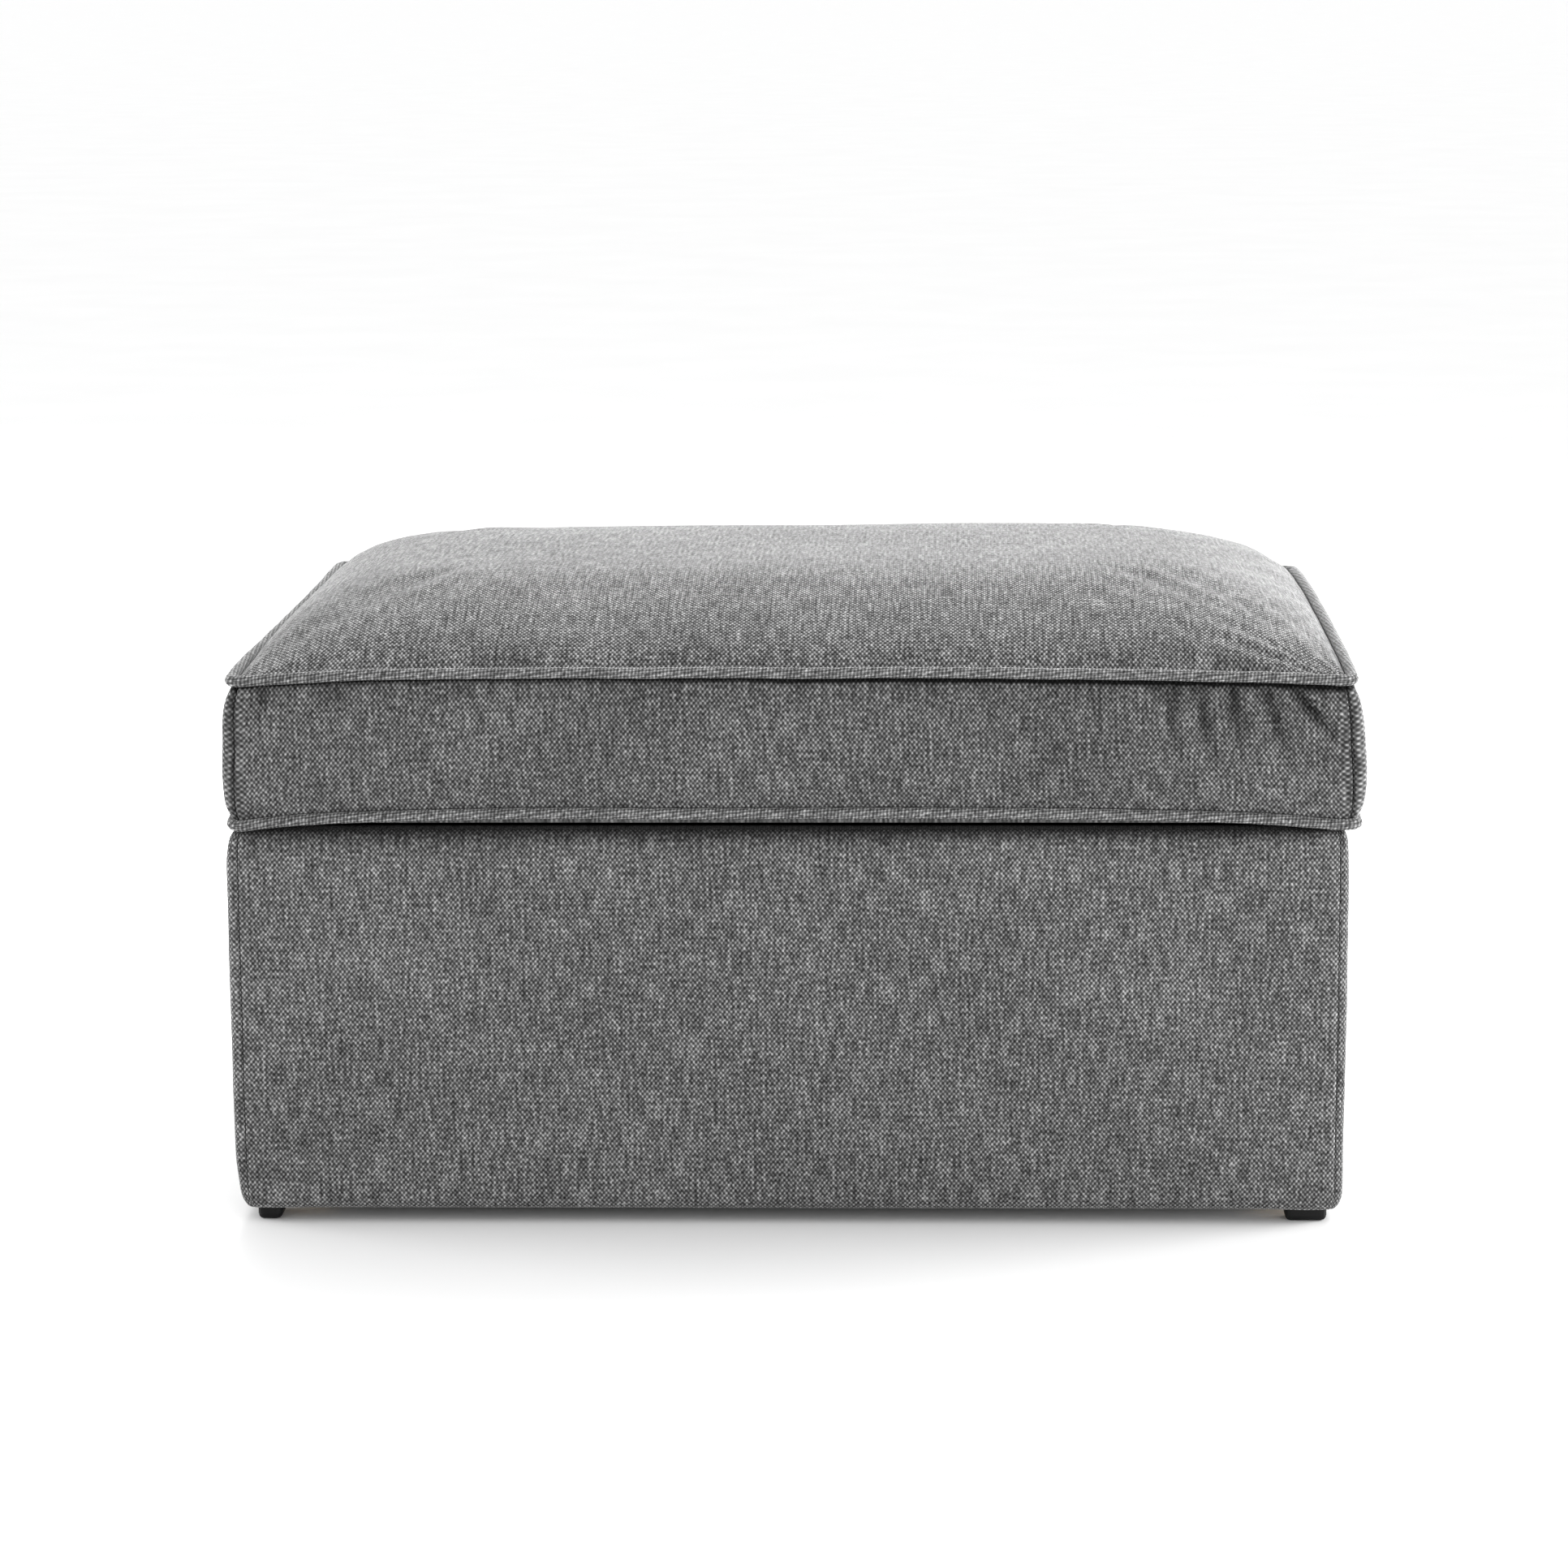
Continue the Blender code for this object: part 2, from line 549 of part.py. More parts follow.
def hinges(axis, panel, cover, board_holes, cloth_holes, steel):
    """Two butt hinges of five knuckles, three on the box's leaf and two on the lid's."""
    half, step, play = HINGE_LENGTH / 2, HINGE_LENGTH / 5, 0.0002
    knuckles = [(k * step - half + play, (k + 1) * step - half - play) for k in range(5)]
    panel_holes, cover_holes = bmesh.new(), bmesh.new()
    down, up = (0, 0, -1), (0, 0, 1)
    for side, sign in (("left", -1), ("right", 1)):
        centre = sign * HINGE_X
        box_head, lid_head = LEAF_LOW_Z + LEAF, LEAF_HIGH_Z
        hinge_leaf(f"hinge_{side}_base_leaf", steel, None, centre, LEAF_LOW_Z, knuckles[::2], box_head)
        hinge_leaf(f"hinge_{side}_lid_leaf", steel, axis, centre, LEAF_HIGH_Z, knuckles[1::2], lid_head)
        pin = [(-half - 0.0012, 0.0028), (-half - GAP, 0.0028), (-half - GAP, PIN_R), (half + 0.0008, PIN_R)]
        bm = turned(bmesh.new(), pin, (centre, HINGE_Y, HINGE_Z), (1, 0, 0))
        add(f"hinge_{side}_pin", bm, steel, axis, smooth=True)
        for k, x in enumerate(leaf_screws(centre), 1):
            y = LEAF_SCREW_Y
            wood_screw(f"hinge_{side}_base_screw_{k}", (x, y, box_head), down, 0.022, steel)
            wood_screw(f"hinge_{side}_lid_screw_{k}", (x, y, lid_head), up, 0.0125, steel, axis)
            bore(panel_holes, (x, y, PANEL_Z1 + 0.001), down, 0.022)
            bore(cover_holes, (x, y, RIM_Z + 0.001), down, FABRIC + 0.0018)
            bore(board_holes, (x, y, LID_BOARD_Z - 0.001), up, 0.0116)
            bore(cloth_holes, (x, y, CLOTH_Z - 0.001), up, 0.0028)
    cut(panel, panel_holes, "hinge_pilots")
    cut(cover, cover_holes, "hinge_holes")


# ---------------------------------------------------------------- lid stays
def slot_outline(start, toward, length, half_width):
    """A long shape with round ends, as (y, z) points."""
    across = Vector((-toward.y, toward.x))
    points = []
    for centre, turn in ((start + toward * length, 0), (start, math.pi)):
        for k in range(7):
            angle = turn - math.pi / 2 + math.pi * k / 6
            points.append(centre + half_width * (toward * math.cos(angle) + across * math.sin(angle)))
    return [tuple(point) for point in points]


def bracket_tab(pivot):
    """The bracket's hanging tab, round at its lower end, as (y, z) points."""
    half, top = 0.011, LEAF_HIGH_Z + LEAF / 2
    arc = [math.pi * k / 8 for k in range(9)]
    lower = [(pivot.x - half * math.cos(t), pivot.y - half * math.sin(t)) for t in arc]
    return [(pivot.x - half, top)] + lower + [(pivot.x + half, top)]


def stay(side, sign, axis, panel, lining, board_holes, cloth_holes, steel):
    """One slotted stay: bracket and rivet on the lid, the arm, and its stud in the box's side.

    Every shape is drawn for the right side and mirrored in the YZ plane for the left.
    """

    def handed(bm):
        if sign < 0:
            bmesh.ops.scale(bm, verts=bm.verts, vec=(-1, 1, 1))
        return bm

    pivot = Vector((HINGE_Y - LID_PIVOT_U, HINGE_Z - STAY_DROP))
    stud = Vector((HINGE_Y - STAY_R * math.cos(STUD_ANGLE), HINGE_Z - STAY_R * math.sin(STUD_ANGLE)))
    toward = (stud - pivot).normalized()
    out = (1, 0, 0)

    turning = empty(f"stay_{side}_axis", (sign * ARM_X0, pivot.x, pivot.y), axis)
    bpy.context.view_layer.update()
    slot_start, slot_end = STAY_SHUT - SLOT_PLAY, STAY_OPEN + SLOT_PLAY
    outline = slot_outline(pivot, toward, slot_end, ARM_HALF_WIDTH)
    arm = add(f"stay_{side}_arm", handed(prism(bmesh.new(), outline, ARM_X0, ARM_X1)), steel, turning)
    outline = slot_outline(pivot + toward * slot_start, toward, slot_end - slot_start, SLOT_HALF_WIDTH)
    cut(arm, handed(prism(bmesh.new(), outline, ARM_X0 - 0.002, ARM_X1 + 0.002)), "slot")
    through = handed(bore(bmesh.new(), (ARM_X0 - 0.002, *pivot), out, 0.01, RIVET_R + GAP))
    cut(arm, through, "pivot_hole")

    low = (TAB_X1 - 0.026, pivot.x - 0.026, LEAF_HIGH_Z)
    flange = handed(block(bmesh.new(), low, (TAB_X1, pivot.x + 0.026, LEAF_HIGH_Z + LEAF)))
    bracket = add(f"stay_{side}_bracket", flange, steel, axis)
    join(bracket, handed(prism(bmesh.new(), bracket_tab(pivot), TAB_X0, TAB_X1)), "tab")
    through = handed(bore(bmesh.new(), (TAB_X0 - 0.002, *pivot), out, LEAF + 0.004, RIVET_R + GAP))
    cut(bracket, through, "pivot_hole")
    seats = bmesh.new()
    for k, offset in enumerate((-0.018, 0.018), 1):
        place = (sign * (TAB_X1 - 0.014), pivot.x + offset)
        up = (0, 0, 1)
        wood_screw(f"stay_{side}_bracket_screw_{k}", (*place, LEAF_HIGH_Z), up, 0.0125, steel, axis)
        countersink(seats, (*place, LEAF_HIGH_Z), up)
        bore(board_holes, (*place, LID_BOARD_Z - 0.001), up, 0.0116)
        bore(cloth_holes, (*place, CLOTH_Z - 0.001), up, 0.0028)
    cut(bracket, seats, "screw_seats")

    grip = TAB_X1 - ARM_X0 + GAP
    head = 0.0045
    rivet = [(-0.0018, head), (-GAP, head), (-GAP, RIVET_R)]
    rivet += [(grip, RIVET_R), (grip, head), (grip + 0.0015, head)]
    bm = handed(turned(bmesh.new(), rivet, (ARM_X0, *pivot), out, sides=12))
    add(f"stay_{side}_rivet", bm, steel, axis, smooth=True)

    seat = BOX_HALF_X - LINING_IN - GAP - ARM_X0
    flange_x = ARM_THICKNESS + GAP
    shapes = [(-0.0025, 0.0072), (-GAP, 0.0072), (-GAP, STUD_R), (flange_x, STUD_R), (flange_x, 0.006)]
    shapes += [(seat, 0.006), (seat, 0.002), (seat + 0.0125, 0.002)]
    bm = handed(turned(bmesh.new(), shapes, (ARM_X0, *stud), out, sides=12))
    add(f"stay_{side}_stud", bm, steel, smooth=True)
    for target in (panel, lining):
        hole = handed(bore(bmesh.new(), (ARM_X0 + seat - 0.001, *stud), out, 0.015, 0.0023))
        cut(target, hole, f"{side}_stud_hole")


def main():
    clear_scene()
    cloth = material("upholstery_fabric", (0.16, 0.16, 0.16), 0.95)
    lining = material("lining_fabric", (0.02, 0.02, 0.022), 0.95)
    board = material("plywood", (0.62, 0.47, 0.31), 0.7)
    wood = material("pine", (0.7, 0.55, 0.36), 0.75)
    wadding = material("wadding", (0.85, 0.85, 0.83), 0.98)
    foam = material("foam", (0.8, 0.78, 0.66), 0.95)
    plastic = material("glide_plastic", (0.012, 0.012, 0.012), 0.45)
    steel = material("zinc_steel", (0.55, 0.55, 0.56), 0.35, 1.0)
    felt = material("felt", (0.05, 0.05, 0.05), 0.95)

    axis = empty("lid_axis", (0, HINGE_Y, HINGE_Z))
    bpy.context.view_layer.update()
    rails, panels = box_frame(wood, board)
    wadding_wrap(wadding)
    covers = box_cover(cloth)
    bag = lining_bag(lining)
    dust_cover(lining)
    feet(rails, plastic)
    lid_board, underside = lid_body(axis, cloth, lining, board, wadding, foam, felt)
    board_holes, cloth_holes = bmesh.new(), bmesh.new()
    hinges(axis, panels["back"], covers["back"], board_holes, cloth_holes, steel)
    for side, sign in (("left", -1), ("right", 1)):
        stay(side, sign, axis, panels[side], bag, board_holes, cloth_holes, steel)
    cut(lid_board, board_holes, "pilots")
    cut(underside, cloth_holes, "screw_holes")


main()
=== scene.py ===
"""The storage ottoman's looks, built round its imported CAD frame.

Soft pieces replace the CAD's plain ones. The cushion's cover is shaped by formulas and then eased by
a cloth simulation held at its two piped seams. The box's cover is a padded shell with sewn corners.
Boards and metalwork stay as the CAD has them and get their materials here. Metres, +Z up, front
facing -Y.
"""

import json
import math

import bpy
import numpy as np
from mathutils import Matrix, Vector, noise


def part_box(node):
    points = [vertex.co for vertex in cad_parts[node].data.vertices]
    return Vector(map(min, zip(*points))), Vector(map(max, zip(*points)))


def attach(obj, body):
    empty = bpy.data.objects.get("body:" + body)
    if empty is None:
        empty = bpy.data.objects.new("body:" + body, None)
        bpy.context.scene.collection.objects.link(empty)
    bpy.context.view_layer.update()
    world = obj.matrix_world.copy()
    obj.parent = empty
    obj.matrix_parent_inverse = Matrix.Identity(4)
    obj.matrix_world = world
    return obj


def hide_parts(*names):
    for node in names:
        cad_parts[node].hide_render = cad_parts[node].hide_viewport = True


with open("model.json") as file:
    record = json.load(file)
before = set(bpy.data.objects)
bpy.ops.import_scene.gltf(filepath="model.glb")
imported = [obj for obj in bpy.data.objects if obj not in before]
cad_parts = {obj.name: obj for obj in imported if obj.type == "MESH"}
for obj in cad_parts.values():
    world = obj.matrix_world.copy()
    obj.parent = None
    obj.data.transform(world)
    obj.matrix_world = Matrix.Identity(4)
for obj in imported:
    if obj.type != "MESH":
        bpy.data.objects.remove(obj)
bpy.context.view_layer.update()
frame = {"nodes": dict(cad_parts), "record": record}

# ---------------------------------------------------------------- sizes read from the frame
welt_low, welt_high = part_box("welt_upper")
WELT_R = (welt_high.z - welt_low.z) / 2
SEAM_X, SEAM_Y = welt_high.x - WELT_R, welt_high.y - WELT_R
UPPER_Z = welt_low.z + WELT_R
LOWER_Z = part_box("welt_lower")[0].z + WELT_R
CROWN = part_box("cushion_top")[1].z - UPPER_Z
BOX_X, BOX_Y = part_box("base_cover_right")[1].x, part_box("base_cover_back")[1].y
HEM_Z, RIM_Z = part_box("base_cover_front")[0].z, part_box("base_cover_front")[1].z
TURN_IN = BOX_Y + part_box("base_cover_front")[1].y
LINING_X, LINING_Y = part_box("lining_bag")[1].x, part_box("lining_bag")[1].y
LINING_Z0, LINING_Z1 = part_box("lining_bag")[0].z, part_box("lining_bag")[1].z
UNDER_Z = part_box("lid_underside_cloth")[0].z
BOARD_X, BOARD_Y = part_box("lid_board")[1].x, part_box("lid_board")[1].y
FOAM_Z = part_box("lid_foam")[0].z
DUST_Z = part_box("dust_cover")[0].z
FEET = ("front_left", "front_right", "back_left", "back_right")

# ---------------------------------------------------------------- sizes of the soft goods
CELL = 0.0055  # widest spacing of the cushion cover's grid
FINE = (0.0, 0.0018, 0.0040, 0.0066, 0.0098, 0.0136, 0.0180, 0.0235)  # its spacing at a corner
SEAM_COLUMN = 1  # the corner seam's column, counted from the corner
ROWS = (0.018, 0.042, 0.075, 0.12, 0.17, 0.22, 0.28, 0.35, 0.42, 0.49, 0.56, 0.63, 0.70, 0.77, 0.84, 0.895,
        0.935, 0.97, 1.0)  # rows of cloth between the welts, as shares of the height
LAST = len(ROWS)
SHOULDERS = {"left": 0.185, "right": 0.215, "front": 0.27, "back": 0.286}  # the crown's round edges
STEEP = {"left": 0.30, "right": 0.17, "front": 0.08, "back": 0.2}  # their steep share
SEAM_IN, LOW_SEAM_IN = 0.0052, 0.003  # from each welt's middle to the seam behind it
SEAM_ROUND = 0.010  # plan radius of the cushion's corners
CLOTH = 0.0012
SWELL_CAP = 0.004  # the simulation's steps are scaled down to stay under this
SIDE_SWELL, FRONT_SWELL = 0.0122, 0.0095  # the boxing's swell before the simulation
FOLD = 0.004  # how far a seam's edges turn inwards
BOX_ROUND = 0.011  # plan radius of the box's corners
BOX_SEAM = math.radians(26)  # where the corner seam lies on that radius
HEM_DROP = 0.0034  # the cover hangs lower than its flat pattern
WARP, WEFT = 0.00165, 0.00200  # thread spacing
GATHER_WIDTH, GATHER_DEPTH = 0.0056, 0.0082
THIN = 0.0006  # linings
NOTCH = 0.048  # squares cut from the dust cover for the feet
BORDER = 0.034  # how much of the lid's board the lining under it leaves free
PADDING_INSET, SIDE_INSET = 0.004, 0.0112  # from the cover to the padding: top, and under the gathers


# ---------------------------------------------------------------- small helpers
def smooth_step(t):
    t = min(max(t, 0.0), 1.0)
    return t * t * (3 - 2 * t)


def ripple(x, y, scale, seed=0.0):
    """Smooth noise about 0, the same at every run."""
    return noise.noise(Vector((x * scale, y * scale, seed * 7.31)))


def make_piece(name, points, faces, uvs=None, mats=(), face_mats=None):
    """A smooth-shaded mesh. uvs holds one (u, v) in metres for each point."""
    mesh = bpy.data.meshes.new(name)
    mesh.from_pydata([tuple(p) for p in points], [], faces)
    if uvs is not None:
        layer = mesh.uv_layers.new(name="cloth")
        flat = np.array(uvs, np.float32)[[v for face in faces for v in face]]
        layer.data.foreach_set("uv", flat.ravel())
    for mat in mats:
        mesh.materials.append(mat)
    if face_mats is not None:
        mesh.polygons.foreach_set("material_index", face_mats)
    mesh.shade_smooth()
    obj = bpy.data.objects.new(name, mesh)
    bpy.context.scene.collection.objects.link(obj)
    return obj


def grid_faces(columns, rows, start=0, closed=False):
    """Quads of a grid stored column by column. A closed grid joins its last column to its first."""
    faces = []
    for i in range(columns if closed else columns - 1):
        a, b = start + i * rows, start + (i + 1) % columns * rows
        faces += [(a + j, b + j, b + j + 1, a + j + 1) for j in range(rows - 1)]
    return faces


def thicken(obj, thickness, offset=-1.0):
    solid = obj.modifiers.new("thickness", "SOLIDIFY")
    solid.thickness = thickness
    solid.offset = offset
    solid.use_even_offset = False


def soften(obj, levels=1):
    subdivision = obj.modifiers.new("subdivision", "SUBSURF")
    subdivision.levels = subdivision.render_levels = levels


def mark_painted_shade(obj, shade_of):
    """Stores the painted shade at each point, from 0 to 1, for the cloth's material: it darkens the colour
    where creases, the welts and the lid shade the cloth.
    """
    known = obj.data.attributes.get("painted_shade")
    depths = [item.value for item in known.data] if known else [0.0] * len(obj.data.vertices)
    depths = [min(max(shade_of(*v.co), old, 0.0), 1.0) for v, old in zip(obj.data.vertices, depths)]
    known = known or obj.data.attributes.new("painted_shade", "FLOAT", "POINT")
    known.data.foreach_set("value", depths)


def settle(obj, body, slot, *nodes):
    """The last steps for a piece: its body and the CAD nodes it stands for, which are hidden. The slot
    argument is not used.
    """
    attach(obj, body)
    if nodes:
        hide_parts(*nodes)
    return obj


# ---------------------------------------------------------------- materials
def new_material(name, roughness, metallic=0.0, sheen=0.0, specular=0.5):
    mat = bpy.data.materials.new(name)
    mat.use_nodes = True
    shader = mat.node_tree.nodes["Principled BSDF"]
    shader.inputs["Roughness"].default_value = roughness
    shader.inputs["Metallic"].default_value = metallic
    shader.inputs["Sheen Weight"].default_value = sheen
    shader.inputs["Sheen Roughness"].default_value = 0.25
    shader.inputs["Specular IOR Level"].default_value = specular
    return mat, mat.node_tree, shader


def node(tree, kind, inputs=None, **settings):
    """Adds a node. inputs maps a socket's name or number to a value or to another node's output."""
    made = tree.nodes.new("ShaderNode" + kind)
    for key, value in settings.items():
        setattr(made, key, value)
    for key, value in (inputs or {}).items():
        if isinstance(value, bpy.types.NodeSocket):
            tree.links.new(value, made.inputs[key])
        else:
            made.inputs[key].default_value = value
    return made


def maths(tree, operation, a, b=0.0, c=0.0):
    return node(tree, "Math", {0: a, 1: b, 2: c}, operation=operation).outputs[0]


def noise_of(tree, vector, scale, detail=2.0, stretch=None):
    """Noise about 0.5. stretch scales the coordinates first, so that it runs along a thread."""
    if stretch:
        vector = node(tree, "VectorMath", {0: vector, 1: stretch}, operation="MULTIPLY").outputs[0]
    inputs = {"Vector": vector, "Scale": scale, "Detail": detail, "Roughness": 0.6}
    return node(tree, "TexNoise", inputs).outputs["Fac"]


def ramp(tree, factor, stops):
    """A colour ramp through (position, grey or colour) stops."""
    made = node(tree, "ValToRGB", {0: factor})
    elements = made.color_ramp.elements
    for _ in range(len(stops) - 2):
        elements.new(0.5)
    for element, (position, colour) in zip(elements, stops):
        element.position = position
        rgb = colour if isinstance(colour, tuple) else (colour,) * 3
        element.color = (*rgb, 1.0)
    return made.outputs["Color"]


def bump(tree, shader, height, strength, distance):
    inputs = {"Height": height, "Strength": strength, "Distance": distance}
    tree.links.new(node(tree, "Bump", inputs).outputs[0], shader.inputs["Normal"])


def upholstery(name, tone=1.0, contrast=1.0, painted_sheen_weight=0.15, edge=9.0):
    """Plain-woven chenille: uneven light and dark threads, slubs both ways and cloudy mottling.

    The pieces' painted-shade attribute is 1 at the bottom of a crease, where hardly any light gets in; the
    colour and the sheen are darkened by it as painted shade.
    """
    mat, tree, shader = new_material(name, 0.92, sheen=0.6, specular=0.1)
    place = node(tree, "UVMap", uv_map="cloth").outputs[0]
    drift = node(tree, "TexNoise", {"Vector": place, "Scale": 110.0, "Detail": 1.0}).outputs["Color"]
    drift = node(tree, "VectorMath", {0: drift, 1: (-0.5, -0.5, -0.5)}, operation="ADD").outputs[0]
    drift = node(tree, "VectorMath", {0: drift, "Scale": 0.0008}, operation="SCALE").outputs[0]
    moved = node(tree, "VectorMath", {0: place, 1: drift}, operation="ADD").outputs[0]
    parts = node(tree, "SeparateXYZ", {0: moved}).outputs
    across = maths(tree, "SINE", maths(tree, "MULTIPLY", parts[0], math.pi / WARP))
    along = maths(tree, "SINE", maths(tree, "MULTIPLY", parts[1], math.pi / WEFT))
    cross = maths(tree, "MULTIPLY", across, along)

    fleck = noise_of(tree, place, 1.0, 0.0, (450.0, 370.0, 1.0))
    weft_slub = noise_of(tree, place, 1.0, 0.0, (65.0, 400.0, 1.0))
    warp_slub = noise_of(tree, place, 1.0, 0.0, (450.0, 45.0, 1.0))
    cloud = noise_of(tree, place, 55.0, 3.0)
    wide = noise_of(tree, place, 8.0, 3.0)
    tone_sum = maths(tree, "MULTIPLY_ADD", cross, 0.27 * contrast, 0.5)
    for field, weight in ((fleck, 0.50), (weft_slub, 0.22), (warp_slub, 0.36), (cloud, 0.13), (wide, 0.16)):
        field = maths(tree, "SUBTRACT", field, 0.5)
        tone_sum = maths(tree, "MULTIPLY_ADD", field, weight * contrast, tone_sum)
    greys = ((0.10, 0.008), (0.40, 0.046), (0.60, 0.125), (0.90, 0.40))
    # Painted shade: the stored attribute darkens both the colour and the sheen tint, by up to 93 percent.
    painted_shade = node(tree, "Attribute", attribute_name="painted_shade").outputs["Fac"]
    light = maths(tree, "MULTIPLY_ADD", painted_shade, -0.93, 1.0)
    colour = ramp(tree, tone_sum, [(at, g * tone) for at, g in greys])
    # Painted sheen: towards grazing angles the colour is mixed with a pale grey, a painted highlight on
    # surfaces seen side-on.
    facing = node(tree, "LayerWeight", {"Blend": 0.5}).outputs["Facing"]
    painted_sheen_share = maths(tree, "MULTIPLY", maths(tree, "POWER", facing, edge), painted_sheen_weight)
    colour = node(tree, "Mix", {0: painted_sheen_share, 6: colour, 7: (0.85, 0.85, 0.85, 1.0)}, data_type="RGBA").outputs[2]
    shine = ramp(tree, tone_sum, ((0.2, 0.18), (0.5, 0.76), (0.8, 1.0)))
    for source, socket in ((colour, "Base Color"), (shine, "Sheen Tint")):
        scaled = node(tree, "VectorMath", {0: source, "Scale": light}, operation="SCALE")
        tree.links.new(scaled.outputs[0], shader.inputs[socket])
    height = maths(tree, "ABSOLUTE", cross)
    height = maths(tree, "MULTIPLY_ADD", fleck, 0.8, height)
    bump(tree, shader, height, 0.75, 0.00045)
    return mat


def lining_cloth(name, grey):
    """Thin non-woven cloth: matted fibres with a grid of bonded points."""
    mat, tree, shader = new_material(name, 0.85, sheen=0.2, specular=0.25)
    place = node(tree, "TexCoord").outputs["Object"]
    fibres = noise_of(tree, place, 900.0, 3.0)
    clouds = noise_of(tree, place, 60.0, 3.0)
    bonds = node(tree, "TexVoronoi", {"Vector": place, "Scale": 420.0, "Randomness": 0.15}).outputs[0]
    mix = maths(tree, "MULTIPLY_ADD", clouds, 0.5, maths(tree, "MULTIPLY", fibres, 0.5))
    tree.links.new(ramp(tree, mix, ((0.3, grey * 0.6), (0.7, grey * 1.7))), shader.inputs["Base Color"])
    bump(tree, shader, maths(tree, "MULTIPLY_ADD", bonds, 0.7, fibres), 0.4, 0.0003)
    return mat


def fluffy(name, low, high, scale):
    """Wadding, foam or felt: soft fibres or small cells, by scale."""
    mat, tree, shader = new_material(name, 0.97, sheen=0.4, specular=0.1)
    place = node(tree, "TexCoord").outputs["Object"]
    fine = noise_of(tree, place, scale, 5.0)
    cells = node(tree, "TexVoronoi", {"Vector": place, "Scale": scale * 0.8}).outputs[0]
    tree.links.new(ramp(tree, fine, ((0.3, low), (0.7, high))), shader.inputs["Base Color"])
    bump(tree, shader, maths(tree, "ADD", fine, cells), 0.6, 0.0012)
    return mat


def timber(name, pale, dark, ring_scale):
    """Sawn wood: long grain with darker latewood and fine pores. The grain runs along X."""
    mat, tree, shader = new_material(name, 0.62, specular=0.35)
    place = node(tree, "TexCoord").outputs["Object"]
    bend = noise_of(tree, place, 1.0, 3.0, (2.5, 14.0, 14.0))
    parts = node(tree, "SeparateXYZ", {0: place}).outputs
    depth = maths(tree, "ADD", parts[1], parts[2])
    rings = maths(tree, "MULTIPLY_ADD", bend, 5.0, maths(tree, "MULTIPLY", depth, ring_scale))
    rings = maths(tree, "MULTIPLY_ADD", maths(tree, "SINE", rings), 0.5, 0.5)
    pores = noise_of(tree, place, 1.0, 3.0, (60.0, 1800.0, 1800.0))
    mix = maths(tree, "MULTIPLY_ADD", pores, 0.5, maths(tree, "MULTIPLY", rings, 0.55))
    tree.links.new(ramp(tree, mix, ((0.15, dark), (0.8, pale))), shader.inputs["Base Color"])
    rough = maths(tree, "MULTIPLY_ADD", pores, 0.3, 0.45)
    tree.links.new(rough, shader.inputs["Roughness"])
    bump(tree, shader, mix, 0.3, 0.0004)
    return mat


def zinc(name):
    """Zinc-plated steel: faint spangle, rolling lines and dull fingermarks."""
    mat, tree, shader = new_material(name, 0.35, metallic=1.0)
    place = node(tree, "TexCoord").outputs["Object"]
    spangle = node(tree, "TexVoronoi", {"Vector": place, "Scale": 260.0}).outputs["Color"]
    spangle = node(tree, "SeparateColor", {0: spangle}).outputs[0]
    dull = noise_of(tree, place, 90.0, 4.0)
    lines = noise_of(tree, place, 1.0, 2.0, (3000.0, 120.0, 120.0))
    mix = maths(tree, "MULTIPLY_ADD", dull, 0.6, maths(tree, "MULTIPLY", spangle, 0.3))
    stops = ((0.2, (0.26, 0.27, 0.28)), (0.8, (0.54, 0.55, 0.56)))
    tree.links.new(ramp(tree, mix, stops), shader.inputs["Base Color"])
    tree.links.new(maths(tree, "MULTIPLY_ADD", dull, 0.35, 0.2), shader.inputs["Roughness"])
    bump(tree, shader, lines, 0.12, 0.0002)
    return mat


def moulded_plastic(name):
    """Black polypropylene with a fine spark texture and worn, paler scuffs."""
    mat, tree, shader = new_material(name, 0.55, specular=0.18)
    place = node(tree, "TexCoord").outputs["Object"]
    grain = noise_of(tree, place, 2600.0, 2.0)
    scuff = noise_of(tree, place, 130.0, 5.0)
    stops = ((0.35, 0.004), (0.62, 0.007), (0.8, 0.02))
    tree.links.new(ramp(tree, scuff, stops), shader.inputs["Base Color"])
    tree.links.new(maths(tree, "MULTIPLY_ADD", scuff, 0.3, 0.4), shader.inputs["Roughness"])
    bump(tree, shader, grain, 0.25, 0.00015)
    return mat


# ---------------------------------------------------------------- the cushion's seams and crown
def corner_share(x, y):
    """1 at a corner of the seam rectangle and 0 in the middle of a side."""
    if SEAM_X - abs(x) > SEAM_Y - abs(y):
        return min(abs(x) / SEAM_X, 1.0)
    return min(abs(y) / SEAM_Y, 1.0)


def upper_seam_rise(x, y):
    """How far the upper seam stands above its level height: it sinks at the corners and wanders."""
    share = corner_share(x, y)
    back = smooth_step(0.5 + 0.5 * y / SEAM_Y)
    sink = 0.0070 * share**6 * (1 - 0.72 * back) if x < 0 else 0.0068 * share**3.2
    if x < 0 and SEAM_X + x < SEAM_Y - abs(y):
        sink += 0.0045 * (1 - share**4)
    return 0.0037 - sink + 0.0010 * ripple(x, y, 9.0, 1) + 0.0006 * ripple(x, y, 24.0, 2)


def lower_seam_rise(x, y):
    """The lower seam droops at the front corners. At the back it stays above the hinges."""
    share = corner_share(x, y)
    droop = 0.0078 * share**9 if x < 0 else min(0.0085 * share**6, 0.0065)
    droop *= 1 - 0.85 * smooth_step((y / SEAM_Y + 0.2) / 0.8)
    droop += (0.0030 if x < 0 else 0.0016) * share**2
    return 0.0018 - droop + 0.0012 * ripple(x, y, 8.0, 3) * (1 - share**4)


def seam_shift(x, share):
    """Sideways shift of the sewn cover, which doesn't sit quite square. share is 0 at the upper seam."""
    upper, lower = 0.00235 + 0.0014 * x / SEAM_X, 0.0038 + 0.0046 * x / SEAM_X
    return upper + (lower - upper) * share


